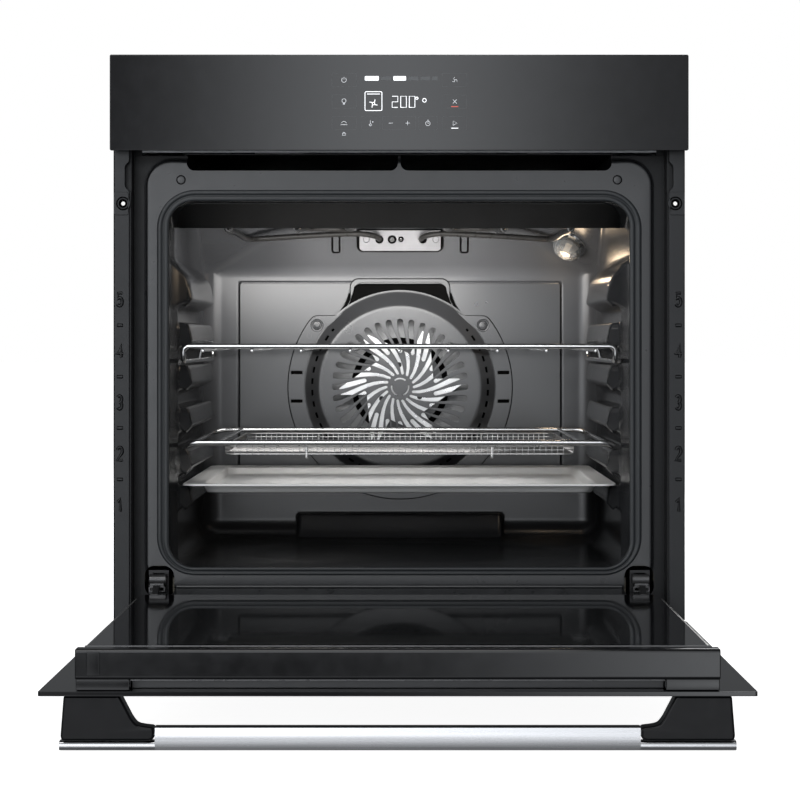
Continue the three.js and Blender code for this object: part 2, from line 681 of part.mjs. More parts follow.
// The arm that stays in the oven body and carries the door's pin.
function hingeArm() {
  const { axisY, axisZ } = DOOR;
  const plate = polygon([
    [70, 38], [70, 46.5], [2, 46.5], [-8, 39], [axisY - 3.7, axisZ + 1], [axisY - 3.2, axisZ - 2.2],
    [axisY, axisZ - HINGE.boss], [axisY + 3.2, axisZ - 2.2], [axisY + 3.7, axisZ + 1], [-1, 34],
    [6, 38],
  ]);
  const bore = rod([240, axisY, axisZ], [265, axisY, axisZ], HINGE.pin + 0.35, 10);
  return cut(alongX(plate, HINGE.x - 3, HINGE.x + 3), bore);
}

function hingeReceiver() {
  return cut(
    box(HINGE.x - 10.5, HINGE.x + 10.5, 31, 80, 34, 60), box(HINGE.x - 6, HINGE.x + 6, 28, 74, 36, 57));
}

// The bail that locks the arm into its receiver. It turns about a line through the arm.
const LATCH = { y: 12, z: 42 };

function hingeLatch() {
  const { y, z } = LATCH;
  const cheek = polygon([
    [y - 3.4, z], [y, z - 3.4], [y + 3.4, z], [y + 15, z + 12.5], [y + 11, z + 15.5],
  ]);
  const arms = join(
    alongX(cheek, HINGE.x - 9, HINGE.x - 7.2), alongX(cheek, HINGE.x + 7.2, HINGE.x + 9));
  const bridge = polygon([
    [y + 8.4, z + 11.4], [y + 11.4, z + 8.6], [y + 15, z + 12.5], [y + 11, z + 15.5],
  ]);
  return join(arms, alongX(bridge, HINGE.x - 9, HINGE.x + 9));
}

function door() {
  const { near, far, under, innerNear, innerFar, innerTop, innerHalf } = DOOR;
  const outer = doorPane(FRONT_HALF, near, far, under, 1.5);
  add('door_outer_glass', outer, MATERIALS.blackGlass);
  add('door_middle_glass', doorPane(236, -62, -466, 23, 1.5), MATERIALS.clearGlass);
  const inner = doorPane(innerHalf, innerNear, innerFar, innerTop - GLASS, 4);
  add('door_inner_glass', inner, MATERIALS.blackGlass);
  addPair('door_side_profile', sideProfile(), MATERIALS.zincSteel);
  add('door_top_cap', doorCap(), MATERIALS.greyPlastic);
  add('door_bottom_rail', bottomRail(), MATERIALS.zincSteel);
  addPair('handle_post', handlePost(), MATERIALS.blackPlastic);
  add('handle_bar', handleBar(), MATERIALS.brushedSteel);
  addPair('hinge_channel', hingeChannel(), MATERIALS.zincSteel);
  addPair('hinge_spring', rod([HINGE.x, -90, 23], [HINGE.x, -215, 23], 6.5, 10), MATERIALS.zincSteel);
}

// ---- The whole oven ----

add('front_frame', frontFrame(), MATERIALS.frameEnamel);
addPair('side_trim', sideTrim(), MATERIALS.frameEnamel);
casing();
add('cavity_shell', cavityShell(), MATERIALS.cavityEnamel);
add('insulation_wrap', insulation(), MATERIALS.wool);
add('door_gasket', gasket(), MATERIALS.gasket);
convectionUnit();
add('grill_element', grillElement(), MATERIALS.element);
add('element_bracket', elementBracket(), MATERIALS.cavityEnamel);
add('bottom_element', bottomElement(), MATERIALS.element);
lamp();
coolingUnit();
controls();
add('upper_rack', upperRack(), MATERIALS.chrome);
add('basket_frame', basketFrame(), MATERIALS.chrome);
add('mesh_basket', meshBasket(), MATERIALS.brushedSteel);
add('baking_tray', bakingTray(), MATERIALS.traySteel);
door();
addPair('hinge_arm', hingeArm(), MATERIALS.zincSteel);
addPair('hinge_receiver', hingeReceiver(), MATERIALS.zincSteel);
addPair('hinge_latch', hingeLatch(), MATERIALS.zincSteel);

export default oven;
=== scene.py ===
"""Looks for the built-in wall oven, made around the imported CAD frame.

Lengths in this script are millimetres in the frame's own axes: +X right, +Y to the back, +Z up.
They become metres where meshes are made.
"""

import math

import bmesh
import bpy
import numpy as np
from mathutils import Matrix, Vector

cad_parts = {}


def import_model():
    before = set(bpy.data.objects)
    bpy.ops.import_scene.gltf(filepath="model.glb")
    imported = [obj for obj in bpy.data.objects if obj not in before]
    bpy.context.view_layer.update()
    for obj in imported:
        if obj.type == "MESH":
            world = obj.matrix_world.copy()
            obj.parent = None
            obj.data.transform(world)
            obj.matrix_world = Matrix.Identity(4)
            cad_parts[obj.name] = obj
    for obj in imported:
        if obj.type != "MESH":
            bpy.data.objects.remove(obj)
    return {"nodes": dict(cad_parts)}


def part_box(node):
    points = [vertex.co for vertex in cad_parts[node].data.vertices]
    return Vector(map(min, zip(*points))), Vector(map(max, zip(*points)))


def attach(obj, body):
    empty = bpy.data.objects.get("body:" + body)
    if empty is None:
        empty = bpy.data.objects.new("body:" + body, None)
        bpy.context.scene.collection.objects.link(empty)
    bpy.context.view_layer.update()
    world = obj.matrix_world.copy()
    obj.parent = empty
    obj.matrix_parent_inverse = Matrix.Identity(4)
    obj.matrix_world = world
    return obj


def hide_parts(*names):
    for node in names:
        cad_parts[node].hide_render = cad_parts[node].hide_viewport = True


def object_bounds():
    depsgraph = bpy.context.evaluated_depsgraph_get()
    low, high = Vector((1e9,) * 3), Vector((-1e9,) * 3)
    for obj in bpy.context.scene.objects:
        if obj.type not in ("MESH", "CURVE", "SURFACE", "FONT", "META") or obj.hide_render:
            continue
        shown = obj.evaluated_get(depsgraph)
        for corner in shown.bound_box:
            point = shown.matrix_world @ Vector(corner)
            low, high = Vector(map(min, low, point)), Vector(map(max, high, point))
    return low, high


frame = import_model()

CAD_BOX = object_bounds()
MM = 0.001
SIDES = (("left", -1), ("right", 1))
BAR_ANGLE = 60              # a bar shades smoothly over edges up to this many degrees


def span(node):
    """Lowest and highest corner of a CAD node, in millimetres."""
    low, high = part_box(node)
    return np.array(low) / MM, np.array(high) / MM


# Driving dimensions. The nodes' boxes give most places, and these give the shapes inside them.
PLATEAU = {"half": 265.0, "low": 42.0, "high": 490.0, "radius": 27.0}
MOUTH = {"half": 241.5, "low": 63.5, "high": 447.5, "radius": 27.0}
VENT = {"inner": 1.4, "outer": 222.0, "low": 478.6, "radius": 8.0}
POCKET = {"inner": 235.0, "outer": 267.0, "low": 40.0, "high": 66.0, "radius": 11.5}
ROOM = {"half": 243.0, "floor": 62.0, "ceiling": 452.0, "back": 438.0, "radius": 25.0}
CREASE = 386.0              # above this height the back wall leans forward
LEAN = 0.303
RIBS = {"inner": 221.0, "front": 73.0, "rear": 362.0, "height": 16.0, "first": 169.5, "pitch": 44.8, "count": 5}
LEDGE = 132.2
FAN_Z = 245.0
CHAMBER = {"half": 188.0, "low": 132.0, "high": 358.0, "radius": 60.0, "back": 484.0}
CORNER = {"side": 381.0, "back": 92.0, "front": 330.0}    # where the cut-off corner meets the cavity's edges
LAMP = (203.0, 405.0, 414.0)
FAN_CENTRE = (0, 0, FAN_Z)
BACKWARD = (0, 1, 0)
COVER_FACE, COVER_FLANGE = 427.6, 434.6                   # depths of the fan cover's two sheets
COVER_SCREW = {"x": 101.6, "z": 320.2}
PLUG = {"x": 228.0, "z": 469.0}
FIXING = {"x": 286.0, "z": 443.0}


# ---- Meshes ----

def unit(vector):
    return vector / np.linalg.norm(vector)


def clean(mesh):
    work = bmesh.new()
    work.from_mesh(mesh)
    bmesh.ops.remove_doubles(work, verts=work.verts, dist=1e-6)
    bmesh.ops.recalc_face_normals(work, faces=work.faces)
    work.to_mesh(mesh)
    work.free()


def link(name, mesh, angle=35):
    mesh.shade_smooth()
    mesh.set_sharp_from_angle(angle=math.radians(angle))
    obj = bpy.data.objects.new(name, mesh)
    bpy.context.scene.collection.objects.link(obj)
    return obj


def mesh_object(name, points, faces, angle=35):
    mesh = bpy.data.meshes.new(name)
    mesh.from_pydata((np.asarray(points, float) * MM).tolist(), [], faces)
    clean(mesh)
    return link(name, mesh, angle)


def loft(name, rings, loop=False, angle=35):
    """A skin over rings of equally many points. A loop joins the last ring to the first."""
    count = len(rings[0])
    points = np.concatenate([np.asarray(ring, float) for ring in rings])
    last = len(rings) - 1
    pairs = [(i, i + 1) for i in range(last)] + ([(last, 0)] if loop else [])
    faces = []
    for a, b in pairs:
        for k in range(count):
            n = (k + 1) % count
            faces.append((a * count + k, a * count + n, b * count + n, b * count + k))
    if not loop:
        faces += [tuple(range(count)), tuple(range(last * count, (last + 1) * count))]
    return mesh_object(name, points, faces, angle)


def rounded_rect(x0, x1, z0, z1, radius, steps=8):
    """Points of a rounded rectangle, corner by corner."""
    corners = [(x1 - radius, z0 + radius, -90), (x1 - radius, z1 - radius, 0),
               (x0 + radius, z1 - radius, 90), (x0 + radius, z0 + radius, 180)]
    points = []
    for x, z, start in corners:
        for k in range(steps + 1):
            angle = math.radians(start + 90 * k / steps)
            points.append((x + radius * math.cos(angle), z + radius * math.sin(angle)))
    return points


def circle(x, z, radius, count=32):
    angles = [2 * math.pi * k / count for k in range(count)]
    return [(x + radius * math.cos(a), z + radius * math.sin(a)) for a in angles]


def arc(x, z, radius, start, end, count=10):
    angles = np.radians(np.linspace(start, end, count))
    return [(x + radius * math.cos(a), z + radius * math.sin(a)) for a in angles]


def polar(radius, degrees):
    angle = math.radians(degrees)
    return radius * math.cos(angle), FAN_Z + radius * math.sin(angle)


def frame_ring(shape, grow, depth, steps=10):
    """A rounded rectangle standing at a depth, grown outwards."""
    outline = rounded_rect(-shape["half"] - grow, shape["half"] + grow, shape["low"] - grow,
                           shape["high"] + grow, shape["radius"] + grow, steps)
    return [(x, depth, z) for x, z in outline]


def bend_corners(points, radius, steps=5, loop=False):
    """A path through the points with its corners rounded."""
    points = [np.array(p, float) for p in points]
    count = len(points)
    path = []
    for i, corner in enumerate(points):
        if not loop and i in (0, count - 1):
            path.append(corner)
            continue
        before, after = points[i - 1] - corner, points[(i + 1) % count] - corner
        reach = min(radius, 0.49 * np.linalg.norm(before), 0.49 * np.linalg.norm(after))
        start, end = corner + unit(before) * reach, corner + unit(after) * reach
        for t in np.linspace(0, 1, steps + 1):
            path.append((1 - t) ** 2 * start + 2 * t * (1 - t) * corner + t ** 2 * end)
    return path


def sweep_rings(path, section, loop=False):
    """Rings of a flat section carried along a path without twisting."""
    path = np.asarray(path, float)
    count = len(path)
    ahead = np.roll(path, -1, axis=0) - path
    back = path - np.roll(path, 1, axis=0)
    if not loop:
        ahead[-1], back[0] = back[-1], ahead[0]
    lean = np.array([0.0, 0.0, 1.0])
    rings = []
    for i in range(count):
        tangent = unit(unit(ahead[i]) + unit(back[i]))
        if i == 0 and abs(tangent @ lean) > 0.9:
            lean = np.array([1.0, 0.0, 0.0])
        lean = unit(lean - tangent * (lean @ tangent))
        side = np.cross(tangent, lean)
        rings.append([path[i] + side * a + lean * b for a, b in section])
    return rings


def tube(name, path, radius, sides=12, loop=False):
    """A round bar along a path, with softly rounded ends."""
    section = circle(0, 0, radius, sides)
    if loop:
        return loft(name, sweep_rings(path, section, True), True, BAR_ANGLE)
    path = [np.array(p, float) for p in path]
    first, last = unit(path[0] - path[1]), unit(path[-1] - path[-2])
    inner = [path[0] - first * radius * 0.3, *path[1:-1], path[-1] - last * radius * 0.3]
    rings = sweep_rings([path[0], *inner, path[-1]], section)
    for ring, centre in ((rings[0], path[0]), (rings[-1], path[-1])):
        for k, point in enumerate(ring):
            ring[k] = centre + (point - centre) * 0.68
    return loft(name, rings, False, BAR_ANGLE)


def turned(name, profile, start, direction, count=32):
    """A profile of (radius, height) points turned about an axis. It closes on the axis or on itself."""
    turn = Vector((0, 0, 1)).rotation_difference(Vector(direction)).to_matrix()
    on_axis = profile[0][0] < 1e-6
    rings = []
    for radius, height in profile:
        ring = [Vector((max(radius, 1e-4) * math.cos(a), max(radius, 1e-4) * math.sin(a), height))
                for a in (2 * math.pi * k / count for k in range(count))]
        rings.append([np.array(start) + np.array(turn @ p) for p in ring])
    return loft(name, rings, not on_axis)


FACINGS = {
    "front": ((1, 0, 0), (0, 0, 1), (0, -1, 0)),
    "top": ((1, 0, 0), (0, 1, 0), (0, 0, 1)),
}


def plate(name, outlines, facing, middle, thickness, bevel=0.25, angle=25):
    """A sheet with rounded edges. The outlines after the first are holes in it."""
    curve = bpy.data.curves.new(name, "CURVE")
    curve.dimensions = "2D"
    curve.fill_mode = "BOTH"
    for outline in outlines:
        spline = curve.splines.new("POLY")
        spline.points.add(len(outline) - 1)
        for point, (a, b) in zip(spline.points, outline):
            point.co = (a * MM, b * MM, 0, 1)
        spline.use_cyclic_u = True
    curve.extrude = (thickness / 2 - bevel) * MM
    curve.bevel_depth = bevel * MM
    curve.bevel_resolution = 2
    curve.offset = -bevel * MM
    flat = bpy.data.objects.new(name + "_outline", curve)
    mesh = bpy.data.meshes.new_from_object(flat)
    bpy.data.objects.remove(flat)
    bpy.data.curves.remove(curve)
    across, up, out = (Vector(v) for v in FACINGS[facing])
    turn = Matrix((across, up, out)).transposed().to_4x4()
    centre = Vector([abs(c) * middle * MM for c in out])
    mesh.transform(Matrix.Translation(centre) @ turn)
    mesh.name = name
    clean(mesh)
    return link(name, mesh, angle)


def block(name, low, high, bevel=0.5):
    """A box with rounded edges."""
    work = bmesh.new()
    bmesh.ops.create_cube(work, size=1)
    low, high = np.array(low, float) * MM, np.array(high, float) * MM
    for vert in work.verts:
        vert.co = Vector((low + high) / 2 + np.array(vert.co) * (high - low))
    bmesh.ops.bevel(work, geom=list(work.edges), offset=bevel * MM, segments=2, affect="EDGES", profile=0.5)
    mesh = bpy.data.meshes.new(name)
    work.to_mesh(mesh)
    work.free()
    return link(name, mesh, 40)


def applied(obj, angle=35):
    """Turns an object's modifiers into its mesh."""
    graph = bpy.context.evaluated_depsgraph_get()
    mesh = bpy.data.meshes.new_from_object(obj.evaluated_get(graph))
    obj.modifiers.clear()
    obj.data = mesh
    mesh.shade_smooth()
    mesh.set_sharp_from_angle(angle=math.radians(angle))
    return obj


def cut(obj, tools, angle=35):
    for tool in tools:
        modifier = obj.modifiers.new("cut", "BOOLEAN")
        modifier.operation = "DIFFERENCE"
        modifier.solver = "EXACT"
        modifier.object = tool
    applied(obj, angle)
    for tool in tools:
        bpy.data.objects.remove(tool)
    return obj


def joined(name, pieces, angle=35):
    """Several meshes as one piece."""
    work = bmesh.new()
    for piece in pieces:
        work.from_mesh(piece.data)
    mesh = bpy.data.meshes.new(name)
    work.to_mesh(mesh)
    work.free()
    for piece in pieces:
        bpy.data.objects.remove(piece)
    return link(name, mesh, angle)


def mirrored(name, obj, angle=35):
    """The mirror image of a piece on the other side."""
    mesh = obj.data.copy()
    mesh.transform(Matrix.Scale(-1, 4, Vector((1, 0, 0))))
    clean(mesh)
    mesh.name = name
    return link(name, mesh, angle)


def soften(obj, width):
    """Rounds a CAD node's edges without touching its mesh."""
    bevel = obj.modifiers.new("edges", "BEVEL")
    bevel.width = width * MM
    bevel.segments = 2
    bevel.limit_method = "ANGLE"
    bevel.angle_limit = math.radians(40)
    bevel.harden_normals = True


def shown(obj, body, look, slot, *replaced, weigh=True):
    """Gives a new piece its look and its body, and hides the CAD nodes it replaces. The slot argument is not used. Flat
    faces keep their own normals.
    """
    if weigh:
        obj.modifiers.new("normals", "WEIGHTED_NORMAL").keep_sharp = True
    obj.data.materials.clear()
    obj.data.materials.append(LOOKS[look])
    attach(obj, body)
    if replaced:
        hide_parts(*replaced)
    return obj


# ---- Smooth surfaces from distance functions ----

def round_max(a, b, radius):
    """Where two distances overlap, with the edge between them rounded."""
    corner = np.hypot(np.maximum(a + radius, 0), np.maximum(b + radius, 0))
    return np.minimum(-radius, np.maximum(a, b)) + corner


def round_min(a, b, radius):
    corner = np.hypot(np.maximum(radius - a, 0), np.maximum(radius - b, 0))
    return np.maximum(radius, np.minimum(a, b)) - corner


def slope_of(distance, points):
    """The distance at points, and the direction in which it grows."""
    reach = 0.05
    value = distance(*points.T)
    slope = np.empty_like(points)
    for axis in range(3):
        step = np.zeros(3)
        step[axis] = reach
        slope[:, axis] = (distance(*(points + step).T) - distance(*(points - step).T)) / (2 * reach)
    return value, slope


def skin_of(distance, low, high, step):
    """Points and quads of the surface where a distance is zero, open where it leaves the box."""
    axes = [np.arange(a, b + step * 0.5, step) for a, b in zip(low, high)]
    field = distance(*np.meshgrid(*axes, indexing="ij"))
    inside = field < 0
    cells = np.zeros([n - 1 for n in field.shape], int)
    for i in (0, 1):
        for j in (0, 1):
            for k in (0, 1):
                cells += inside[i:i + cells.shape[0], j:j + cells.shape[1], k:k + cells.shape[2]]
    active = (cells > 0) & (cells < 8)
    number = np.full(cells.shape, -1)
    number[active] = np.arange(active.sum())
    where = np.argwhere(active)
    points = np.array(low) + (where + 0.5) * step
    quads = []
    for axis in range(3):
        u, v = (axis + 1) % 3, (axis + 2) % 3
        near = [slice(None)] * 3
        far = [slice(None)] * 3
        near[axis], far[axis] = slice(0, -1), slice(1, None)
        crossing = inside[tuple(near)] != inside[tuple(far)]
        spots = np.argwhere(crossing)
        keep = (spots[:, u] > 0) & (spots[:, v] > 0)
        keep &= (spots[:, u] < cells.shape[u]) & (spots[:, v] < cells.shape[v])
        spots = spots[keep]
        ring = []
        for du, dv in ((-1, -1), (0, -1), (0, 0), (-1, 0)):
            cell = spots.copy()
            cell[:, u] += du
            cell[:, v] += dv
            ring.append(number[tuple(cell.T)])
        quad = np.stack(ring, 1)
        flip = inside[tuple(spots.T)]
        quad[flip] = quad[flip][:, ::-1]
        quads.append(quad)
    for axis in (0, 1):
        points[where[:, axis] == 0, axis] = low[axis]
    for _ in range(4):
        value, slope = slope_of(distance, points)
        for axis in (0, 1):
            slope[where[:, axis] == 0, axis] = 0
        points -= slope * (value / np.maximum((slope ** 2).sum(1), 0.05))[:, None]
    return points, np.concatenate(quads)


# ---- Materials ----

def material(name, color, metallic=0.0, roughness=(0.35, 0.45), grain=70, mottle=0.08,
             bump=0.0, bump_grain=900, **sockets):
    """A surface whose colour, roughness and relief vary with a noise. A grain is waves per metre, one for
    all axes or one for each."""
    look = bpy.data.materials.new(name)
    look.use_nodes = True
    nodes, links = look.node_tree.nodes, look.node_tree.links
    shader = nodes["Principled BSDF"]
    shader.inputs["Metallic"].default_value = metallic
    for socket, value in sockets.items():
        shader.inputs[socket.replace("_", " ")].default_value = value
    place = nodes.new("ShaderNodeTexCoord")

    def noise(scale, detail):
        mapping = nodes.new("ShaderNodeMapping")
        mapping.inputs["Scale"].default_value = scale if isinstance(scale, tuple) else (scale,) * 3
        links.new(place.outputs["Object"], mapping.inputs["Vector"])
        texture = nodes.new("ShaderNodeTexNoise")
        texture.inputs["Scale"].default_value = 1.0
        texture.inputs["Detail"].default_value = detail
        links.new(mapping.outputs["Vector"], texture.inputs["Vector"])
        return texture.outputs["Fac"]

    wave = noise(grain, 4)
    ramp = nodes.new("ShaderNodeValToRGB")
    for element, share in zip(ramp.color_ramp.elements, (1 - mottle, 1 + mottle)):
        element.color = (*[min(c * share, 1) for c in color], 1)
    ramp.color_ramp.elements[0].position = 0.3
    ramp.color_ramp.elements[1].position = 0.7
    links.new(wave, ramp.inputs["Fac"])
    links.new(ramp.outputs["Color"], shader.inputs["Base Color"])
    spread = nodes.new("ShaderNodeMapRange")
    spread.inputs["From Min"].default_value = 0.3
    spread.inputs["From Max"].default_value = 0.7
    spread.inputs["To Min"].default_value = roughness[0]
    spread.inputs["To Max"].default_value = roughness[1]
    links.new(wave, spread.inputs["Value"])
    links.new(spread.outputs["Result"], shader.inputs["Roughness"])
    if bump:
        relief = nodes.new("ShaderNodeBump")
        relief.inputs["Distance"].default_value = bump * MM
        links.new(noise(bump_grain, 2), relief.inputs["Height"])
        links.new(relief.outputs["Normal"], shader.inputs["Normal"])
    return look


def glow(name, color, strength):
    return material(name, color, roughness=(0.4, 0.5), mottle=0.02,
                    Emission_Color=(*color, 1), Emission_Strength=strength)


LOOKS = {
    "frame": material("frame_enamel", (0.022, 0.023, 0.025), roughness=(0.27, 0.33), bump=0.012,
                      bump_grain=1400, Specular_IOR_Level=0.6),
    # A darker copy of the frame enamel: painted shade for the inset channel and the trims' folds, which lie in the
    # frame's shadow.
    "channel": material("shaded_channel_enamel", (0.012, 0.0125, 0.0135), roughness=(0.34, 0.42), Specular_IOR_Level=0.2),
    "trim": material("trim_enamel", (0.018, 0.019, 0.021), roughness=(0.33, 0.4), bump=0.01, Specular_IOR_Level=0.3),
    # Near-black: painted shade for the ceiling's front lip, which faces down and away from the light.
    "lip_shade": material("lip_shade_enamel", (0.007, 0.007, 0.0075), roughness=(0.3, 0.36), Specular_IOR_Level=0.25),
    "cavity": material("cavity_enamel", (0.027, 0.028, 0.03), roughness=(0.23, 0.26), grain=12,
                       Specular_IOR_Level=0.6),
    "cover": material("cover_enamel", (0.014, 0.0145, 0.0155), roughness=(0.27, 0.3), grain=12,
                      Specular_IOR_Level=0.9),
    "galvanised": material("galvanised_sheet", (0.42, 0.43, 0.44), 0.9, (0.34, 0.46), 160, 0.1,
                           bump=0.02, bump_grain=300),
    "zinc": material("zinc_plating", (0.38, 0.38, 0.37), 0.9, (0.28, 0.42), 220, 0.14, bump=0.01),
    "heater": material("heater_tube", (0.012, 0.0117, 0.0114), 0.05, (0.26, 0.34), 150, 0.15,
                       Specular_IOR_Level=0.25),
    "black_glass": material("black_glass", (0.004, 0.004, 0.005), roughness=(0.035, 0.06), mottle=0.3),
    "door_print": material("printed_glass", (0.005, 0.005, 0.006), roughness=(0.05, 0.08), mottle=0.3),
    "door_mirror": material("mirror_glass", (0.05, 0.052, 0.055), 0.55, (0.03, 0.05), mottle=0.1),
    "clear": material("clear_glass", (0.85, 0.88, 0.9), roughness=(0.01, 0.03), mottle=0.02,
                      Transmission_Weight=0.92, IOR=1.45),
    "plastic": material("black_plastic", (0.012, 0.012, 0.013), roughness=(0.38, 0.48), bump=0.02,
                        bump_grain=2200),
    "post": material("post_plastic", (0.006, 0.006, 0.007), roughness=(0.2, 0.26), Specular_IOR_Level=0.2),
    "cap": material("cap_finish", (0.005, 0.005, 0.006), roughness=(0.08, 0.11), mottle=0.2),
    "seal": material("door_seal", (0.022, 0.025, 0.028), roughness=(0.38, 0.55), grain=500, bump=0.05,
                     bump_grain=1200),
    "brushed": material("brushed_steel", (0.58, 0.58, 0.59), 1.0, (0.2, 0.3), (8, 900, 900), 0.05, bump=0.006,
                        bump_grain=(10, 2500, 2500), Anisotropic=0.5),
    "chrome": material("chromed_wire", (0.66, 0.66, 0.66), 1.0, (0.08, 0.16), 200, 0.06),
    "polished": material("polished_steel", (0.8, 0.79, 0.77), 1.0, (0.16, 0.26), 160, 0.06, bump=0.01),
    "guide": material("guide_enamel", (0.16, 0.165, 0.17), roughness=(0.3, 0.4)),
    "inner_guide": material("inner_guide", (0.055, 0.056, 0.06), roughness=(0.3, 0.4)),
    "latch": material("latch_zinc", (0.09, 0.09, 0.092), 0.6, (0.3, 0.4)),
    "bead": material("bead_finish", (0.2, 0.2, 0.205), 0.6, (0.25, 0.32)),
    "bracket": material("bracket_steel", (0.12, 0.12, 0.125), 0.3, (0.3, 0.4), bump=0.008),
    "vane": material("vane_steel", (0.82, 0.82, 0.82), 0.75, (0.26, 0.34), 160, 0.04),
    "dark_zinc": material("dark_zinc", (0.025, 0.025, 0.026), 0.4, (0.3, 0.4), 220, 0.14, bump=0.01),
    # Near-black without shine: painted shade, laid into gaps, grooves, dimples and the backs of openings where the oven
    # lies in shadow.
    "shade_black": material("painted_shade_black", (0.002, 0.002, 0.002), roughness=(0.6, 0.7), mottle=0.1, Specular_IOR_Level=0.0),
    "tray": material("tray_steel", (0.74, 0.735, 0.72), 0.2, (0.34, 0.42), (30, 200, 60), 0.02),
    "mesh": material("woven_wire", (0.62, 0.61, 0.6), 1.0, (0.26, 0.36), 300, 0.1),
    "wool": material("mineral_wool", (0.16, 0.15, 0.12), roughness=(0.9, 1.0), grain=(120, 120, 300), mottle=0.3,
                     bump=0.8, bump_grain=(220, 220, 400)),
    "ceramic": material("lamp_ceramic", (0.75, 0.72, 0.66), roughness=(0.6, 0.75), bump=0.04),
    "board": material("circuit_board", (0.02, 0.12, 0.05), roughness=(0.35, 0.5), grain=90, mottle=0.4,
                      bump=0.05, bump_grain=300),
    "print": glow("panel_print", (0.8, 0.82, 0.85), 0.42),
    "dim_print": glow("dim_print", (0.1, 0.105, 0.11), 0.12),
    "lit_print": glow("lit_display", (0.95, 0.97, 1.0), 0.9),
    "red_print": glow("red_print", (0.8, 0.12, 0.08), 0.35),
    "bulb": glow("lamp_filament", (1.0, 0.82, 0.62), 0.32),
}


# ---- Front frame, trims and seal ----

def front_frame():
    low, high = span("front_frame")
    face, back = low[1], high[1]
    channel = back - 1.5
    outer = {"half": high[0], "low": low[2], "high": high[2], "radius": 3.5}
    flange = [(outer, 0, back), (outer, 0, channel + 0.4), (outer, -0.4, channel), (PLATEAU, 1.2, channel),
              (PLATEAU, 1.2, back)]
    profile = [
        (PLATEAU, 2.4, back), (PLATEAU, 2.4, channel - 0.05), (PLATEAU, 0.7, channel - 0.6),
        (PLATEAU, 0, channel - 2.2), (PLATEAU, 0, face + 4), (PLATEAU, -0.5, face + 2.2),
        (PLATEAU, -2, face + 0.6), (PLATEAU, -4, face),
        (MOUTH, 5, face), (MOUTH, 2.4, face + 0.5), (MOUTH, 0.7, face + 2), (MOUTH, 0, face + 4.4),
        (MOUTH, 0, back), (MOUTH, 1.4, back), (MOUTH, 1.4, face + 3), (PLATEAU, -4.5, face + 1.8),
        (PLATEAU, -1.8, face + 4), (PLATEAU, -1.8, back),
    ]

    def openings(dimples):
        """Tools that cut the air vents and hinge pockets, and the plugs' dimples where wanted."""
        tools = []
        for _, side in SIDES:
            x0, x1 = sorted((side * VENT["inner"], side * VENT["outer"]))
            vent = rounded_rect(x0, x1, VENT["low"], high[2] + 20, VENT["radius"])
            x0, x1 = sorted((side * POCKET["inner"], side * POCKET["outer"]))
            pocket = rounded_rect(x0, x1, POCKET["low"] - 8, POCKET["high"], POCKET["radius"])
            tools += [plate("tool", [outline], "front", 24, 30, 0.01) for outline in (vent, pocket)]
            if dimples:
                tools.append(plate("tool", [circle(side * PLUG["x"], PLUG["z"], 5, 24)], "front", face, 2, 0.01))
        return tools

    raised = cut(loft("front_frame_panel", [frame_ring(*row) for row in profile], True), openings(True), 30)
    shown(raised, "oven_body", "frame", "frame_enamel", "front_frame")
    # The channel round the raised panel takes the darker channel enamel: painted shade for the inset.
    channel_piece = cut(loft("front_frame_channel", [frame_ring(*row) for row in flange], True), openings(False), 30)
    shown(channel_piece, "oven_body", "channel", "frame_enamel")
    # Black discs behind the plugs: painted shade in the ring gap round each plug.
    wells = [plate("well", [circle(side * PLUG["x"], PLUG["z"], 4.95, 24)], "front", face + 0.9, 0.15, 0.01)
             for _, side in SIDES]
    shown(joined("plug_well_shade", wells), "oven_body", "shade_black", "frame_enamel")
    plugs = [turned("plug", [(0, 0), (3.4, 0), (4.0, 0.25), (4.25, 0.9), (4.25, 2), (0, 2)],
                    (side * PLUG["x"], face + 0.15, PLUG["z"]), BACKWARD, 28) for _, side in SIDES]
    shown(joined("frame_plugs", plugs), "oven_body", "frame", "frame_enamel")


def frame_lip():
    """The bead along the bottom of the raised frame."""
    bead = tube("frame_lip_bead", [(-233, 18.6, 43.9), (233, 18.6, 43.9)], 1.9, 12)
    ledge = block("ledge", (-233, 20.5, 33.5), (233, 22, 42.6), 0.3)
    shown(joined("frame_lip_fold", [bead, ledge]), "oven_body", "frame", "frame_enamel")


DIGITS = {
    "1": [[(0.22, 0.72), (0.55, 1.0), (0.55, 0.0)]],
    "2": [arc(0.5, 0.7, 0.3, 165, -35, 12) + [(0.16, 0.0), (0.86, 0.0)]],
    "3": [arc(0.46, 0.74, 0.26, 150, -90, 12) + arc(0.46, 0.25, 0.27, 90, -150, 12)],
    "4": [[(0.66, 0.0), (0.66, 1.0), (0.1, 0.3), (0.92, 0.3)]],
    "5": [[(0.8, 1.0), (0.28, 1.0), (0.24, 0.55)] + arc(0.47, 0.33, 0.32, 125, -150, 12)],
}


def raised_line(path, surface, width, height):
    """A rounded embossed line on a surface that faces the front."""
    line = tube("line", [(x, surface, z) for x, z in path], width / 2, 8)
    for vert in line.data.vertices:
        vert.co.y = surface * MM + (vert.co.y - surface * MM) * height * 2 / width
    return line


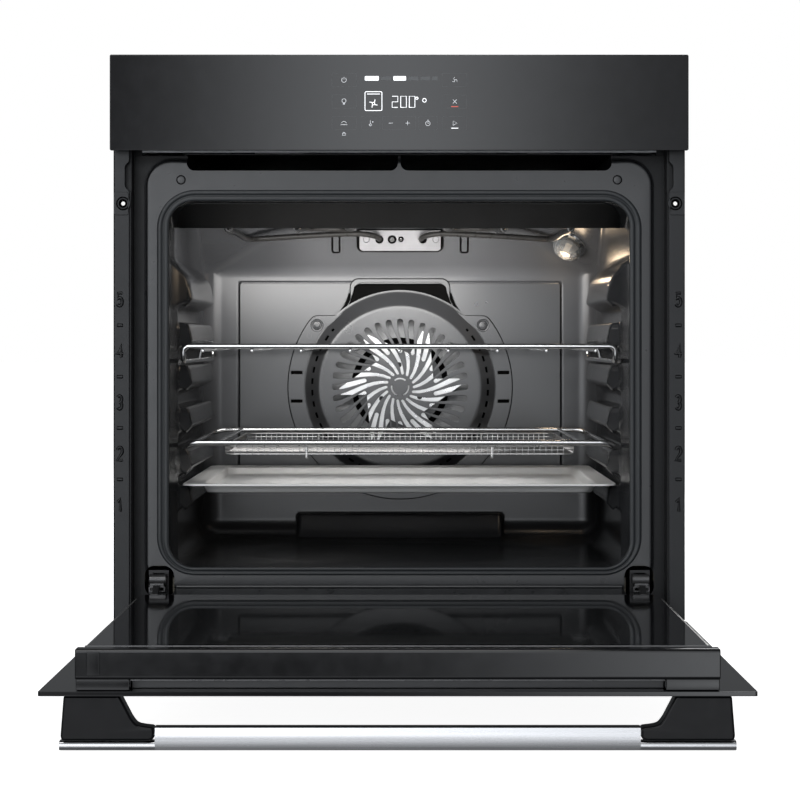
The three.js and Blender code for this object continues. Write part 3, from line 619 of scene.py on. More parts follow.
def side_trim(side_name, side):
    """One side flange with its fixing hole, its folded edge, black strips of painted shade at its outer edge and round
    the hole, and the level digits with painted shade outlines.
    """
    low, high = span("side_trim_right")
    inner, outer, front, back = low[0], high[0], -2.5, 0.0
    bottom, top = low[2], high[2]
    hole_x, hole_z = FIXING["x"], FIXING["z"]
    notch = 4.4
    outline = bend_corners([
        (outer - 1.2, bottom), (outer - 1.2, top + 3.5), (inner, top + 3.5), (inner, 486), (inner + notch, 482.5),
        (inner + notch, 460), (inner, 456), (inner, bottom)], 2.5, 5, True)
    middle, thick = (front + back) / 2, back - front
    sheet = plate("sheet", [outline, circle(hole_x, hole_z, 4.4, 24)], "front", middle, thick, 0.5)
    pad = rounded_rect(inner + 0.7, outer - 0.7, hole_z - 12, hole_z + 12, 2.2)
    boss = plate("boss", [pad, circle(hole_x, hole_z, 7.6, 28)], "front", front - 0.25, 1.4, 0.4)
    bushing = turned("bushing", [(4.4, 0), (4.4, -1.2), (4.8, -1.5), (5.4, -1.5), (5.9, -1.0), (6.0, 0)],
                     (hole_x, front + 0.3, hole_z), BACKWARD, 28)
    # The folds and corner blocks take the darker channel enamel: painted shade along the trim's inner edge.
    folds = [block("fold", (inner - 1.6, y0, z0), (inner + wide, y1, z1), 0.1) for wide, y0, y1, z0, z1 in (
        (1.5, front + 3, high[1], bottom + 3, 455), (1.5, 5, high[1], 454, top + 7), (6, 6, 7.5, 452, top + 3))]
    # Black strip at the outer edge and black rings in and round the fixing hole: painted shade for the edge gap and the
    # hole's recesses.
    lines = [block("edge", (outer - 1.5, front - 0.1, bottom + 1), (outer - 0.6, back, top + 3), 0.1),
             turned("sink", [(2.1, 0), (2.1, -1.2), (4.5, -1.9), (4.5, 0)], (hole_x, front + 1.2, hole_z),
                    BACKWARD, 24),
             turned("groove", [(6.1, 0), (6.1, -0.7), (7.5, -0.7), (7.5, 0)], (hole_x, front, hole_z), BACKWARD, 32)]
    folds += [block("corner", (inner - 1.6, 28, 480), (inner + 1.5, 30, top + 8), 0.1),
              block("corner", (inner - 10, 30.2, 486), (inner + 1.5, 31, top + 8), 0.1)]
    for name, pieces, look, node in (("_sheet", [sheet, boss, bushing], "trim", ["side_trim_" + side_name]),
                                     ("_fold", folds, "channel", []), ("_shade_lines", lines, "shade_black", [])):
        body = joined("side_trim" + name, pieces)
        if side < 0:
            flipped = mirrored("side_trim" + name, body)
            bpy.data.objects.remove(body)
            body = flipped
        body.name = "side_trim_" + side_name + name
        shown(body, "oven_body", look, "frame_enamel", *node)
    # Each digit and dash gets a wider black copy under it: painted shade outlining the embossing.
    marks, shades = [], []
    x = side * ((inner + outer) / 2 + 1.2)
    first_digit, digit_pitch, digit_height = 130.6, 53.2, 13.5
    for i, digit in enumerate("12345"):
        z = first_digit + i * digit_pitch
        for stroke in DIGITS[digit]:
            path = [(x + (a - 0.5) * digit_height * 0.62, z + (b - 0.5) * digit_height) for a, b in stroke]
            marks.append(raised_line(path, front, 2.3, 0.95))
            shades.append(raised_line(path, front, 3.5, 0.3))
        if digit != "5":
            dash = z + digit_pitch / 2
            marks.append(raised_line([(x - 2.8, dash), (x + 2.8, dash)], front, 2.6, 0.95))
            shades.append(raised_line([(x - 3.2, dash), (x + 3.2, dash)], front, 3.8, 0.3))
    shown(joined("level_marks_" + side_name, marks), "oven_body", "trim", "frame_enamel")
    shown(joined("level_shades_" + side_name, shades), "oven_body", "shade_black", "frame_enamel")


def door_seal():
    low, high = span("door_gasket")
    inner = {"half": 240.5, "low": 64.5, "high": 446.5, "radius": 26.0}
    outer = {"half": high[0], "low": low[2], "high": high[2], "radius": 40.0}
    front, back = low[1], high[1]
    profile = [(0, back), (0, front + 1.4), (0.06, front + 0.5), (0.16, front + 0.05), (0.3, front), (0.4, front + 0.5),
               (0.47, front + 1.3), (0.54, front + 1.3), (0.61, front + 0.5), (0.7, front + 0.05),
               (0.82, front + 0.1), (0.93, front + 0.6), (1, front + 1.6), (1, back)]
    rings = []
    for share, depth in profile:
        shape = {key: inner[key] + (outer[key] - inner[key]) * share for key in inner}
        rings.append(frame_ring(shape, 0, depth, 14))
    shown(loft("door_seal_ring", rings, True, 50), "oven_body", "seal", "door_seal", "door_gasket")


# ---- Cavity ----

def rect_distance(x, z, shape, grow=0.0):
    middle, reach = (shape["low"] + shape["high"]) / 2, (shape["high"] - shape["low"]) / 2
    radius = shape["radius"]
    qx = np.abs(x) - shape["half"] - grow + radius
    qz = np.abs(z - middle) - reach - grow + radius
    outside = np.hypot(np.maximum(qx, 0), np.maximum(qz, 0))
    return outside + np.minimum(np.maximum(qx, qz), 0) - radius


def corner_plane():
    """Normal and offset of the plane that cuts off the cavity's top rear corner, on the right."""
    a, b, c = np.array([[ROOM["half"], ROOM["back"], CORNER["side"]], [CORNER["back"], ROOM["back"], ROOM["ceiling"]],
                        [ROOM["half"], CORNER["front"], ROOM["ceiling"]]])
    normal = unit(np.cross(b - a, c - a))
    if normal[2] < 0:
        normal = -normal
    return normal, normal @ a


def slope_depth(z):
    return ROOM["back"] - (z - CREASE) * LEAN


def rib_distance(x, y, z, base, shoulder):
    """One pressed rack rib on the side wall. A shoulder's top climbs to the wall."""
    inner = RIBS["inner"] + (z - base + 4.3) * 0.19 - x
    if shoulder:
        top = (z - base - RIBS["height"] - (x - RIBS["inner"]) * 1.02) * 0.7
        front = (34 + (x - 243) * -1.9 - y) * 0.47
    else:
        top = z - base - RIBS["height"]
        front = (RIBS["front"] - (x - 224) * 1.25 - y) * 0.62
    under = (base - 4.3 - (x - RIBS["inner"]) * 0.5 - z) * 0.89
    rear = (y - RIBS["rear"] - (x - RIBS["inner"]) * 0.6) * 0.86
    body = round_max(round_max(inner, top, 3.5), under, 3)
    body = round_max(round_max(body, front, 3), rear, 6)
    fall = (base - 4.3 - (x - 221) * 1.1 - z) * 0.67
    rise = (base - 12.2 + (x - 228.2) * 1.8 - z) * 0.49
    toe_front = (RIBS["front"] - 2 - (x - 224) * 1.25 - y) * 0.62
    toe = round_max(round_max(fall, rise, 1), round_max(inner, toe_front, 2), 1.5)
    toe = round_max(round_max(toe, z - base - 12, 2), y - RIBS["front"] - 14, 3)
    return round_min(body, toe, 2)


def room_distance(x, y, z):
    """Distance into the cavity's air, below zero inside it."""
    back = round_max(y - ROOM["back"], (y - ROOM["back"] + (z - CREASE) * LEAN) * 0.957, 2.5)
    air = round_max(x - ROOM["half"], back, ROOM["radius"])
    basin = 1 - ((x / 176) ** 2 + ((y - 232) / 132) ** 2)
    floor = ROOM["floor"] - 2.0 / (1 + np.exp(-np.clip(basin * 26, -30, 30)))
    air = round_max(air, floor - z, 22)
    air = round_max(air, z - ROOM["ceiling"], 20)
    normal, offset = corner_plane()
    air = round_max(air, x * normal[0] + y * normal[1] + z * normal[2] - offset, 5)
    pillar = round_max(235 + (60 - y) * 0.217 - x, 235 + (y - 62) * 0.7 - x, 3)
    air = round_max(air, -round_max(pillar, z - 384, 4), 4)
    for i in range(RIBS["count"]):
        base = RIBS["first"] + i * RIBS["pitch"]
        air = round_max(air, -rib_distance(x, y, z, base, i == RIBS["count"] - 1), 4)
    air = round_max(air, -rib_distance(x, y, z, LEDGE, False), 4)
    lip_face = ((z - 447.5) * 40 + (y - 20) * 25.5) / 47.44
    air = round_max(air, -round_max(-lip_face, y - 64, 3), 4)
    bulge = round_max(round_max(x - 125, (z - 91 - y + 436) * 0.707, 5), z - 91, 4)
    air = round_max(air, -bulge, 3)
    recess = np.maximum(rect_distance(x, z, {"half": 197.6, "low": 121.5, "high": 373.6, "radius": 4}), y - 439.4)
    chamber = np.maximum(rect_distance(x, z, CHAMBER), y - CHAMBER["back"])
    air = round_min(air, np.maximum(recess, 430 - y), 1.5)
    air = round_min(air, np.maximum(chamber, 430 - y), 2)
    mouth = rect_distance(x, z, MOUTH, -0.35) - np.maximum(y - 27, 0) * 0.9
    return round_max(air, mouth, 1)


def cavity_shell():
    step = 2.5
    low = (0.0, 21.5, 54.0)
    high = (252.0, 490.0, 458.0)
    points, quads = skin_of(room_distance, low, high, step)
    mesh = bpy.data.meshes.new("cavity_half")
    mesh.from_pydata((points * MM).tolist(), [], quads.tolist())
    half = link("cavity_half", mesh)
    mirror = half.modifiers.new("mirror", "MIRROR")
    mirror.use_clip = True
    mirror.merge_threshold = step * 0.6 * MM
    thin = half.modifiers.new("thin", "DECIMATE")
    thin.ratio = 0.24
    applied(half)
    inner = np.array([v.co for v in half.data.vertices]) / MM
    faces = [tuple(p.vertices) for p in half.data.polygons]
    probe = inner.copy()
    probe[:, 0] = np.abs(probe[:, 0])
    _, slope = slope_of(room_distance, probe)
    slope[:, 0] *= np.where(inner[:, 0] < 0, -1, 1)
    normals = -slope / np.maximum(np.linalg.norm(slope, axis=1), 1e-6)[:, None]
    outer = inner - normals * 1.2
    outer[:, 1] = np.maximum(outer[:, 1], low[1])
    bpy.data.objects.remove(half)
    count = len(inner)
    edges = {}
    for face in faces:
        for a, b in zip(face, face[1:] + face[:1]):
            edges[(a, b)] = True
    rim = [(b, a) for a, b in edges if (b, a) not in edges]
    skin = faces + [tuple(v + count for v in reversed(face)) for face in faces]
    skin += [(a, b, b + count, a + count) for a, b in rim]
    mesh = bpy.data.meshes.new("cavity_liner")
    mesh.from_pydata((np.concatenate([inner, outer]) * MM).tolist(), [], skin)
    mesh.shade_smooth()
    mesh.normals_split_custom_set_from_vertices(np.concatenate([normals, -normals]).tolist())
    shell = bpy.data.objects.new("cavity_liner", mesh)
    bpy.context.scene.collection.objects.link(shell)
    shown(shell, "oven_body", "cavity", "cavity_enamel", "cavity_shell", weigh=False)


def ceiling_lip_shade():
    """A near-black sheet on the sloping front of the ceiling: painted shade for the lip, which faces down and away from
    the light.
    """
    rows = [(23.5, 214), (30, 226), (40, 232), (61, 235)]
    outline = [(half, y) for y, half in rows] + [(-half, y) for y, half in reversed(rows)]
    rings = [[(x, y - 0.3, 447.5 - (y - 20) * 0.6375 - gap) for x, y in outline] for gap in (0.75, 0.25)]
    shown(loft("ceiling_lip_shade", rings), "oven_body", "lip_shade", "cavity_enamel")


# ---- Hot-air fan behind the back wall ----

def swirl_slot(angle, inner_radius, outer_radius, inner_width, outer_width):
    """A slot that runs outwards from the hub and curves as it goes."""
    tip, hub = 80.0, 16.0
    centre, widths = [], []
    for t in np.linspace(0, 1, 9):
        radius = inner_radius + (outer_radius - inner_radius) * t
        turn = math.radians(angle) - math.radians(31) * ((tip - radius) / (tip - hub)) ** 1.9
        centre.append(np.array([radius * math.cos(turn), radius * math.sin(turn)]))
        widths.append(inner_width + (outer_width - inner_width) * t)
    left, right = [], []
    for i, (point, width) in enumerate(zip(centre, widths)):
        run = unit(centre[min(i + 1, 8)] - centre[max(i - 1, 0)])
        side = np.array([-run[1], run[0]]) * width / 2
        left.append(point + side)
        right.append(point - side)
    ends = []
    for index, sign in ((8, 1), (0, -1)):
        run = unit(centre[8] - centre[7]) if sign > 0 else unit(centre[0] - centre[1])
        side = np.array([-run[1], run[0]])
        reach = widths[index] / 2
        ends.append([centre[index] + side * reach * math.cos(a) + run * reach * math.sin(a)
                     for a in np.linspace(0, math.pi, 7)[1:-1]])
    outline = left + ends[0] + right[::-1] + ends[1]
    return [(x, FAN_Z + z) for x, z in outline]


def hub_slot(middle):
    radius, width, spread = 10.4, 1.9, 40
    outside = arc(0, FAN_Z, radius + width / 2, middle - spread, middle + spread, 9)
    inside = arc(0, FAN_Z, radius - width / 2, middle + spread, middle - spread, 9)
    return outside + inside


def cover_opening(grow):
    """The opening round the fan cover and above it, as an outline in X and Z."""
    ring = 117.0 + grow
    meet = math.degrees(math.asin(55.0 / ring))
    right = [(95 + grow, 314), (75 + grow, 329.5), (62.5 + grow, 346), (57 + grow, 362), (56 + grow, 368 + grow),
             (47, 373 + grow)]
    right = bend_corners([(ring * math.cos(math.radians(meet)), FAN_Z + 55), *right, (0, 373 + grow)], 7, 4)[1:-1]
    left = [(-x, z) for x, z in reversed(right)]
    lower = arc(0, FAN_Z, ring, 180 - meet, 360 + meet, 60)
    return [tuple(p) for p in right] + [tuple(p) for p in left] + lower


def cover_flange_outline():
    ring = 137.0
    meet = math.degrees(math.asin((332 - 9 - FAN_Z) / ring))
    ear = [(105.5, 332), (76, 332), (66, 341), (60.5, 352), (60.5, 371), (54.5, 377)]
    start = (ring * math.cos(math.radians(meet)), 332 - 9)
    right = bend_corners([start, *ear, (0, 377)], 8, 5)[1:-1]
    left = [(-x, z) for x, z in reversed(right)]
    lower = arc(0, FAN_Z, ring, 180 - meet, 360 + meet, 70)
    return [tuple(p) for p in right] + [tuple(p) for p in left] + lower


def bevel_ring():
    """The cone round the cover's face, with its row of air slots."""
    profile = [(95.5, 427.0), (98.2, 427.0), (100.2, 427.5), (102, 428.5), (106, 430.4), (109, 431.9), (114.6, 434.6),
               (116.4, 435.1), (118.4, 435.1)]
    count, group = 192, 4
    faces = []
    points = []
    for radius, depth in profile:
        for k in range(count):
            angle = 2 * math.pi * k / count
            points.append((radius * math.cos(angle), depth, FAN_Z + radius * math.sin(angle)))
    slot_row = 4
    for row in range(len(profile) - 1):
        for k in range(count):
            degrees = 360 * (k + 0.5) / count
            sideways = not 42 < degrees < 138
            if row == slot_row and k % group in (1, 2) and sideways:
                continue
            n = (k + 1) % count
            faces.append((row * count + k, row * count + n, (row + 1) * count + n, (row + 1) * count + k))
    ring = mesh_object("bevel", points, faces, 50)
    sheet = ring.modifiers.new("sheet", "SOLIDIFY")
    sheet.thickness = 0.8 * MM
    sheet.offset = 0
    return applied(ring, 50)


def fan_cover():
    slots = []
    for i in range(36):
        angle = 90 + i * 10
        start = 44 if i % 2 else 17
        slots.append(swirl_slot(angle, start, 79.6, 3.2 + (start - 17) * 0.062, 7.1))
    hub = [hub_slot(middle) for middle in (90, 210, 330)]
    face = plate("face", [circle(0, FAN_Z, 96.5, 120), *slots, *hub], "front", COVER_FACE, 1.2, 0.35)
    grooves = [rounded_rect(*sorted((side * 119.5, side * 133.5)), FAN_Z + z - 2, FAN_Z + z + 2, 0.8, 3)
               for _, side in SIDES for z in (-17.5, 17.5)]
    holes = [circle(side * COVER_SCREW["x"], COVER_SCREW["z"], 7.6, 28) for _, side in SIDES]
    flange = plate("flange", [cover_flange_outline(), cover_opening(0), *grooves, *holes], "front", COVER_FLANGE,
                   1.2, 0.4)
    cover = joined("fan_cover_plate", [face, bevel_ring(), flange], 40)
    shown(cover, "oven_body", "cover", "cavity_enamel", "fan_cover")
    for name, side in SIDES:
        spot = (side * COVER_SCREW["x"], COVER_FLANGE, COVER_SCREW["z"])
        washer = turned("washer", [(5.4, 1.2), (5.4, -0.1), (6.0, -0.5), (7.0, -0.5), (7.5, 0.2), (7.5, 1.2)],
                        spot, BACKWARD, 32)
        dish = turned("dish", [(0, 1.2), (0, 0.7), (4.6, 0.7), (5.5, 1.2)], spot, BACKWARD, 32)
        head = turned("head", [(0, 0.6), (3.4, 0.6), (3.4, -0.6), (2.9, -1.2), (1.7, -1.35), (1.5, -0.6), (0, -0.6)],
                      spot, BACKWARD, 28)
        dimple = turned("dimple", [(2.1, 0.1), (2.1, -0.45), (2.9, -0.45), (3.1, 0.1)],
                        (side * 111.1, 434.3, 307.5), BACKWARD, 24)
        piece = joined("cover_screw_" + name, [washer, dish, head, dimple])
        shown(piece, "oven_body", "cover", "zinc_steel", "fan_cover_screw_" + name)


def baffle():
    low, high = span("baffle_plate")
    outline = rounded_rect(low[0], high[0], low[2], 372.0, 3)
    sheet = plate("baffle_sheet", [outline, cover_opening(5)], "front", 436.9, 1.4, 0.5)
    shown(sheet, "oven_body", "cover", "cavity_enamel", "baffle_plate")
    # Black plates behind the opening, the grooves and the flange's outline: painted shade in the gaps round the fan
    # cover.
    behind = plate("behind", [cover_opening(4), circle(0, FAN_Z, 104, 64)], "front", 438.4, 0.5, 0.05)
    grown = [(x * 1.007, FAN_Z + (z - FAN_Z) * 1.007) for x, z in cover_flange_outline()]
    edge = plate("edge", [grown, cover_opening(0)], "front", 435.75, 0.4, 0.05)
    shown(joined("cover_gap_shade", [behind, edge]), "oven_body", "shade_black", "cavity_enamel")


def fan_wheel():
    """A pinwheel of six lobes. One edge of each lobe is folded back into a blade."""
    outline, blades = [], []
    for k in range(6):
        turn = 7.5 - 60 * k
        lobe = [polar(73.5, turn + 0.5), polar(75, turn - 6), polar(43, turn - 48.5), polar(42, turn - 54)]
        outline += lobe
        (x0, z0), (x1, z1) = lobe[1], lobe[2]
        side = unit(np.array([z1 - z0, x0 - x1])) * 0.9
        rings = [[(x, 447, z), (x + side[0], 447, z + side[1]), (x + side[0], 463, z + side[1]), (x, 463, z)]
                 for x, z in ((x0, z0), (x1, z1))]
        blades.append(loft("blade", rings, False, 40))
    pinwheel = plate("pinwheel", [outline], "front", 446.6, 1.2, 0.3)
    hub = turned("hub", [(0, 462), (9, 462), (9, 445.4), (7, 444.6), (0, 444.6)], FAN_CENTRE, BACKWARD, 32)
    shown(joined("fan_wheel", [pinwheel, hub, *blades], 40), "convection_fan", "vane", "brushed_steel",
          "fan_impeller")
    disc = turned("fan_back_disc", [(0, 463), (53, 463), (53, 464.2), (0, 464.2)], FAN_CENTRE, BACKWARD, 48)
    shown(disc, "convection_fan", "cover", "brushed_steel")
    rivets = [turned("rivet", [(0, 445.9), (0, 445.2), (2.4, 445.2), (3.2, 445.9)], (x, 0, z), BACKWARD, 20)
              for x, z in (polar(27, a) for a in (93, -27, -147))]
    shown(joined("fan_rivets", rivets), "convection_fan", "plastic", "brushed_steel")
    shaft = turned("motor_shaft", [(0, 447), (3.2, 447), (4, 448), (4, 519), (3, 520), (0, 520)],
                   FAN_CENTRE, BACKWARD, 24)
    shown(shaft, "convection_fan", "zinc", "zinc_steel", "fan_shaft")
    guide = turned("air_guide_ring", [(60.5, 469), (60.5, 467.6), (91, 467.6), (92, 468.4), (92, 470), (60.5, 470)],
                   FAN_CENTRE, BACKWARD, 64)
    shown(guide, "oven_body", "guide", "cavity_enamel")
    # A black ring between the back disc and the guide ring: painted shade in the gap.
    gap = turned("air_guide_gap_shade", [(53, 470.5), (53, 469.8), (61, 469.8), (61, 470.5)], FAN_CENTRE, BACKWARD, 64)
    shown(gap, "oven_body", "shade_black", "cavity_enamel")


def ring_heater():
    path = [(-10, y, FAN_Z + 97) for y in (505, 490, 474, 464)]
    path += [(97 * math.cos(a), 456, FAN_Z + 97 * math.sin(a)) for a in np.radians(np.linspace(97, 443, 60))]
    path += [(10, y, FAN_Z + 97) for y in (464, 474, 490, 505)]
    shown(tube("ring_heater", path, 3.2, 12), "oven_body", "heater", "heater_tube", "ring_element")


# ---- Heaters and lamp ----

def smooth_curve(points):
    """A smooth line through the points."""
    points = [np.array(p, float) for p in points]
    ends = [2 * points[0] - points[1], *points, 2 * points[-1] - points[-2]]
    path = []
    for i in range(1, len(ends) - 2):
        a, b, c, d = ends[i - 1:i + 3]
        for t in np.arange(5) / 5:
            path.append(0.5 * (2 * b + (c - a) * t + (2 * a - 5 * b + 4 * c - d) * t ** 2
                               + (3 * b - a - 3 * c + d) * t ** 3))
    return [*path, points[-1]]


def with_mirror_image(half):
    return half + [(-x, y, z) for x, y, z in reversed(half) if x != 0]


def grill_heater():
    front = 84
    half = [(-25, 508, 425.5), (-25, 470, 425.5), (-25, 440, 425.5), (-25.5, 421, 425.5), (-31, 410, 428.5),
            (-55, 404, 431), (-120, 402, 428), (-165, 401, 425), (-184, 386, 424), (-186, 240, 424),
            (-185.5, 100, 421.5), (-181, front, 430), (-148, front, 438), (-115, front, 430), (-110.5, 100, 421.5),
            (-110, 240, 429), (-109, 366, 435), (-83, 388, 436), (-57, 366, 435), (-56, 240, 431), (-56, 104, 424),
            (-48, front, 432), (0, front, 437)]
    path = smooth_curve(with_mirror_image(half))
    shown(tube("grill_heater", path, 3.4, 14), "oven_body", "heater", "heater_tube", "grill_element")
    caps = [turned("cap", [(1.6, 1.2), (1.6, -1), (2.4, -1.6), (3.4, -1.2), (3.9, 0), (3.9, 1.2)], (x, 66, 420.8),
                   BACKWARD, 24) for x in (-181.7, -109.3, 111.5, 182.4)]
    shown(joined("heater_end_rings", caps), "oven_body", "polished", "zinc_steel")
    low, high = span("element_bracket")
    outline = bend_corners([(-49.5, 0.6), (-46, -2), (46, -2), (49.5, 0.6), (49.5, 24), (-49.5, 24)], 1.5, 3, True)
    border = bend_corners([(-53, 0.8), (-47.5, -4), (47.5, -4), (53, 0.8), (53, 25), (-53, 25)], 3, 4, True)
    leg_holes, disc_places = (-25.2, 27.8), (-41.2, 43.6)
    holes = [circle(x, 12.4, 5.0, 28) for x in leg_holes]
    holes += [circle(-9.7, 12.4, 5.4, 28), circle(1.2, 12.8, 3.4, 24)]
    rings = [circle(x, 12.4, 3.9, 24) for x in disc_places]
    plate_piece = plate("bracket", [outline, *holes, *rings], "front", 0, 1.4, 0.4)
    discs = [plate("disc", [circle(x, 12.4, 3.5, 24)], "front", 0.1, 1.2, 0.3) for x in disc_places]
    bracket = joined("heater_bracket", [plate_piece, *discs])
    backing = plate("bracket_shadow_gap", [border], "front", 1.3, 0.8, 0.2)
    nut = turned("nut", [(0, 0.4), (0, -0.9), (2.6, -0.9), (3.3, -0.3), (3.4, 0.4)], (-9.7, 0, 12.4), BACKWARD, 24)
    bolt = turned("bolt", [(0, 0.4), (0, -2.4), (1.6, -2.2), (2.0, -1.2), (2.0, 0.4)], (1.2, 0, 12.8), BACKWARD, 20)
    fixings = joined("bracket_fixings", [nut, bolt])
    lean = Matrix.Rotation(math.atan(LEAN), 4, "X")
    for piece in (bracket, backing, fixings):
        piece.data.transform(Matrix.Translation((0, (high[1] - 2.2) * MM, low[2] * MM)) @ lean)
    shown(bracket, "oven_body", "bracket", "cavity_enamel", "element_bracket")
    shown(backing, "oven_body", "shade_black", "cavity_enamel")
    shown(fixings, "oven_body", "polished", "zinc_steel")
    # Black tubes half sunk in the sloping wall: painted shade drawn as the two pressed grooves beside the bracket.
    grooves = []
    for middle in (-78.3, 78.3):
        path = [(middle + x, slope_depth(z), z) for x, z in ((-4.4, 431), (-4.4, 409.3), (4.4, 409.3), (4.4, 431))]
        grooves.append(tube("groove", bend_corners(path, 2.4, 4), 1.15, 8))
    shown(joined("slope_groove_shade", grooves, 60), "oven_body", "shade_black", "cavity_enamel")


def floor_heater():
    half = [(-25, 508, 52), (-25, 475, 52), (-25, 445, 52), (-25, 416, 52), (-45, 396, 52), (-140, 390, 52),
            (-160, 370, 52), (-160, 120, 52), (-145, 100, 52), (-65, 100, 52), (-50, 120, 52), (-50, 320, 52),
            (-35, 340, 52), (0, 342, 52)]
    path = smooth_curve(with_mirror_image(half))
    shown(tube("floor_heater", path, 3.2, 10), "oven_body", "heater", "heater_tube", "bottom_element")


def lamp():
    normal, offset = corner_plane()
    wanted = np.array(LAMP)
    spot = wanted - normal * (wanted @ normal - offset)
    inward = -normal
    collar = [(13.5, -0.5), (21.2, -0.5), (21.6, 0.6), (20.6, 2.2), (18.2, 2.6), (15, 2.2), (13.5, 1)]
    ring = turned("lamp_ring", collar, spot, inward, 40)
    shown(ring, "oven_body", "chrome", "bright_wire")
    facets = []
    tilt = 0.0
    for radius, height in ((16.2, 0.5), (19.4, 1.2), (19.0, 8), (15.2, 14.2), (8.4, 18.2), (0.01, 19.2)):
        facets.append((radius, height, tilt))
        tilt += math.pi / 11
    inside = [(0.01, 16.8, 0), (7, 15.8, 0), (13, 12.4, 0), (16.2, 7, 0)]
    turn = Vector((0, 0, 1)).rotation_difference(Vector(inward)).to_matrix()
    rings = []
    for radius, height, twist in facets + inside:
        ring = [Vector((radius * math.cos(a + twist), radius * math.sin(a + twist), height))
                for a in (2 * math.pi * k / 11 for k in range(11))]
        rings.append([spot + np.array(turn @ point) for point in ring])
    dome = loft("lamp_dome", rings, True, 10)
    shown(dome, "oven_body", "clear", "clear_glass", "lamp_glass")
    bulb = turned("lamp_capsule", [(0, 1.4), (3.2, 1.4), (4.2, 5), (4.4, 10), (3.2, 12.8), (1.4, 14), (0, 14.2)],
                  spot, inward, 20)
    shown(bulb, "oven_body", "bulb", "clear_glass", "lamp_bulb")
    light = bpy.data.lights.new("cavity_lamp", "POINT")
    light.energy = 0.1
    light.color = (1.0, 0.76, 0.52)
    light.shadow_soft_size = 0.012
    glowing = bpy.data.objects.new("cavity_lamp", light)
    glowing.location = Vector(spot + inward * 24) * MM
    bpy.context.scene.collection.objects.link(glowing)


# ---- Racks and tray ----

def rack_loop(half, front, rear, bar, rail, inset):
    """The closed wire of a rack: front and rear bars, with side rails lower down."""
    corners = []
    for sx, sy in ((-1, -1), (1, -1), (1, 1), (-1, 1)):
        y = front if sy < 0 else rear
        ends = [(sx * half, y - sy * (2 + inset * 0.4), rail), (sx * (half - inset), y, bar)]
        corners += ends if (sx, sy) in ((-1, -1), (1, 1)) else ends[::-1]
    return bend_corners(corners, 6.5, 5, True)


def upper_rack():
    low, high = span("upper_rack")
    front, rear = low[1] + 2.8, high[1] - 2.8
    half, bar, deck = 227.5, 295.0, 290.6
    pieces = [tube("loop", rack_loop(half, front, rear, bar, 279.5, 0), 2.7, 14, True)]
    pitch = 51.7
    for i in range(-4, 5):
        x = i * pitch
        path = [(x, front - 1.2, deck - 0.4), (x, front + 5, deck), (x, rear - 5, deck), (x, rear + 1.2, deck + 1)]
        pieces.append(tube("rod", bend_corners(path, 3, 3), 1.7, 10))
    cross = [(-half, 225, 281), (-half + 3, 225, 293.9), (half - 3, 225, 293.9), (half, 225, 281)]
    pieces.append(tube("cross", bend_corners(cross, 5, 4), 1.7, 10))
    shown(joined("wire_rack", pieces, 60), "upper_rack", "chrome", "bright_wire", "upper_rack")


def wall_wires(half, y0, y1, floor_z, rim, pitch):
    """Main wires of the basket both ways. Each runs down one wall, over the floor and up the other wall."""
    wires = []
    section = circle(0, 0, 0.45, 6)
    across = np.arange(-math.floor((half - 8) / pitch), math.floor((half - 8) / pitch) + 1) * pitch
    middle, reach = (y0 + y1) / 2, (y1 - y0) / 2
    along = np.arange(-math.floor((reach - 8) / pitch), math.floor((reach - 8) / pitch) + 1) * pitch + middle
    for x in across:
        path = [(x, y0 + 0.9, rim - 0.6), (x, y0 + 1.3, floor_z + 0.8), (x, y0 + 2.2, floor_z), (x, y1 - 2.2, floor_z),
                (x, y1 - 1.3, floor_z + 0.8), (x, y1 - 0.9, rim - 0.6)]
        wires.append(loft("wire", sweep_rings(path, section), False, 80))
    for y in along:
        path = [(-half + 0.9, y, rim - 0.6), (-half + 1.3, y, floor_z + 1.5), (-half + 2.2, y, floor_z + 0.8),
                (half - 2.2, y, floor_z + 0.8), (half - 1.3, y, floor_z + 1.5), (half - 0.9, y, rim - 0.6)]
        wires.append(loft("wire", sweep_rings(path, section), False, 80))
    ring = [(x, y, (floor_z + rim) / 2) for x, y in rounded_rect(-half + 1, half - 1, y0 + 1, y1 - 1, 12.5, 5)]
    wires.append(loft("wire", sweep_rings(ring, section, True), True, 80))
    return wires


def floor_wires(half, y0, y1, height, pitch):
    """The fine weave on the basket's floor."""
    wires = []
    section = circle(0, 0, 0.3, 4)
    for x in np.arange(-half + 4, half - 3, pitch):
        wires.append(loft("wire", [[(x + a, y, height + b) for a, b in section] for y in (y0 + 3, y1 - 3)], False, 80))
    for y in np.arange(y0 + 4, y1 - 3, pitch):
        wires.append(loft("wire", [[(x, y + a, height + 0.4 + b) for a, b in section] for x in (-half + 3, half - 3)],
                          False, 80))
    return wires


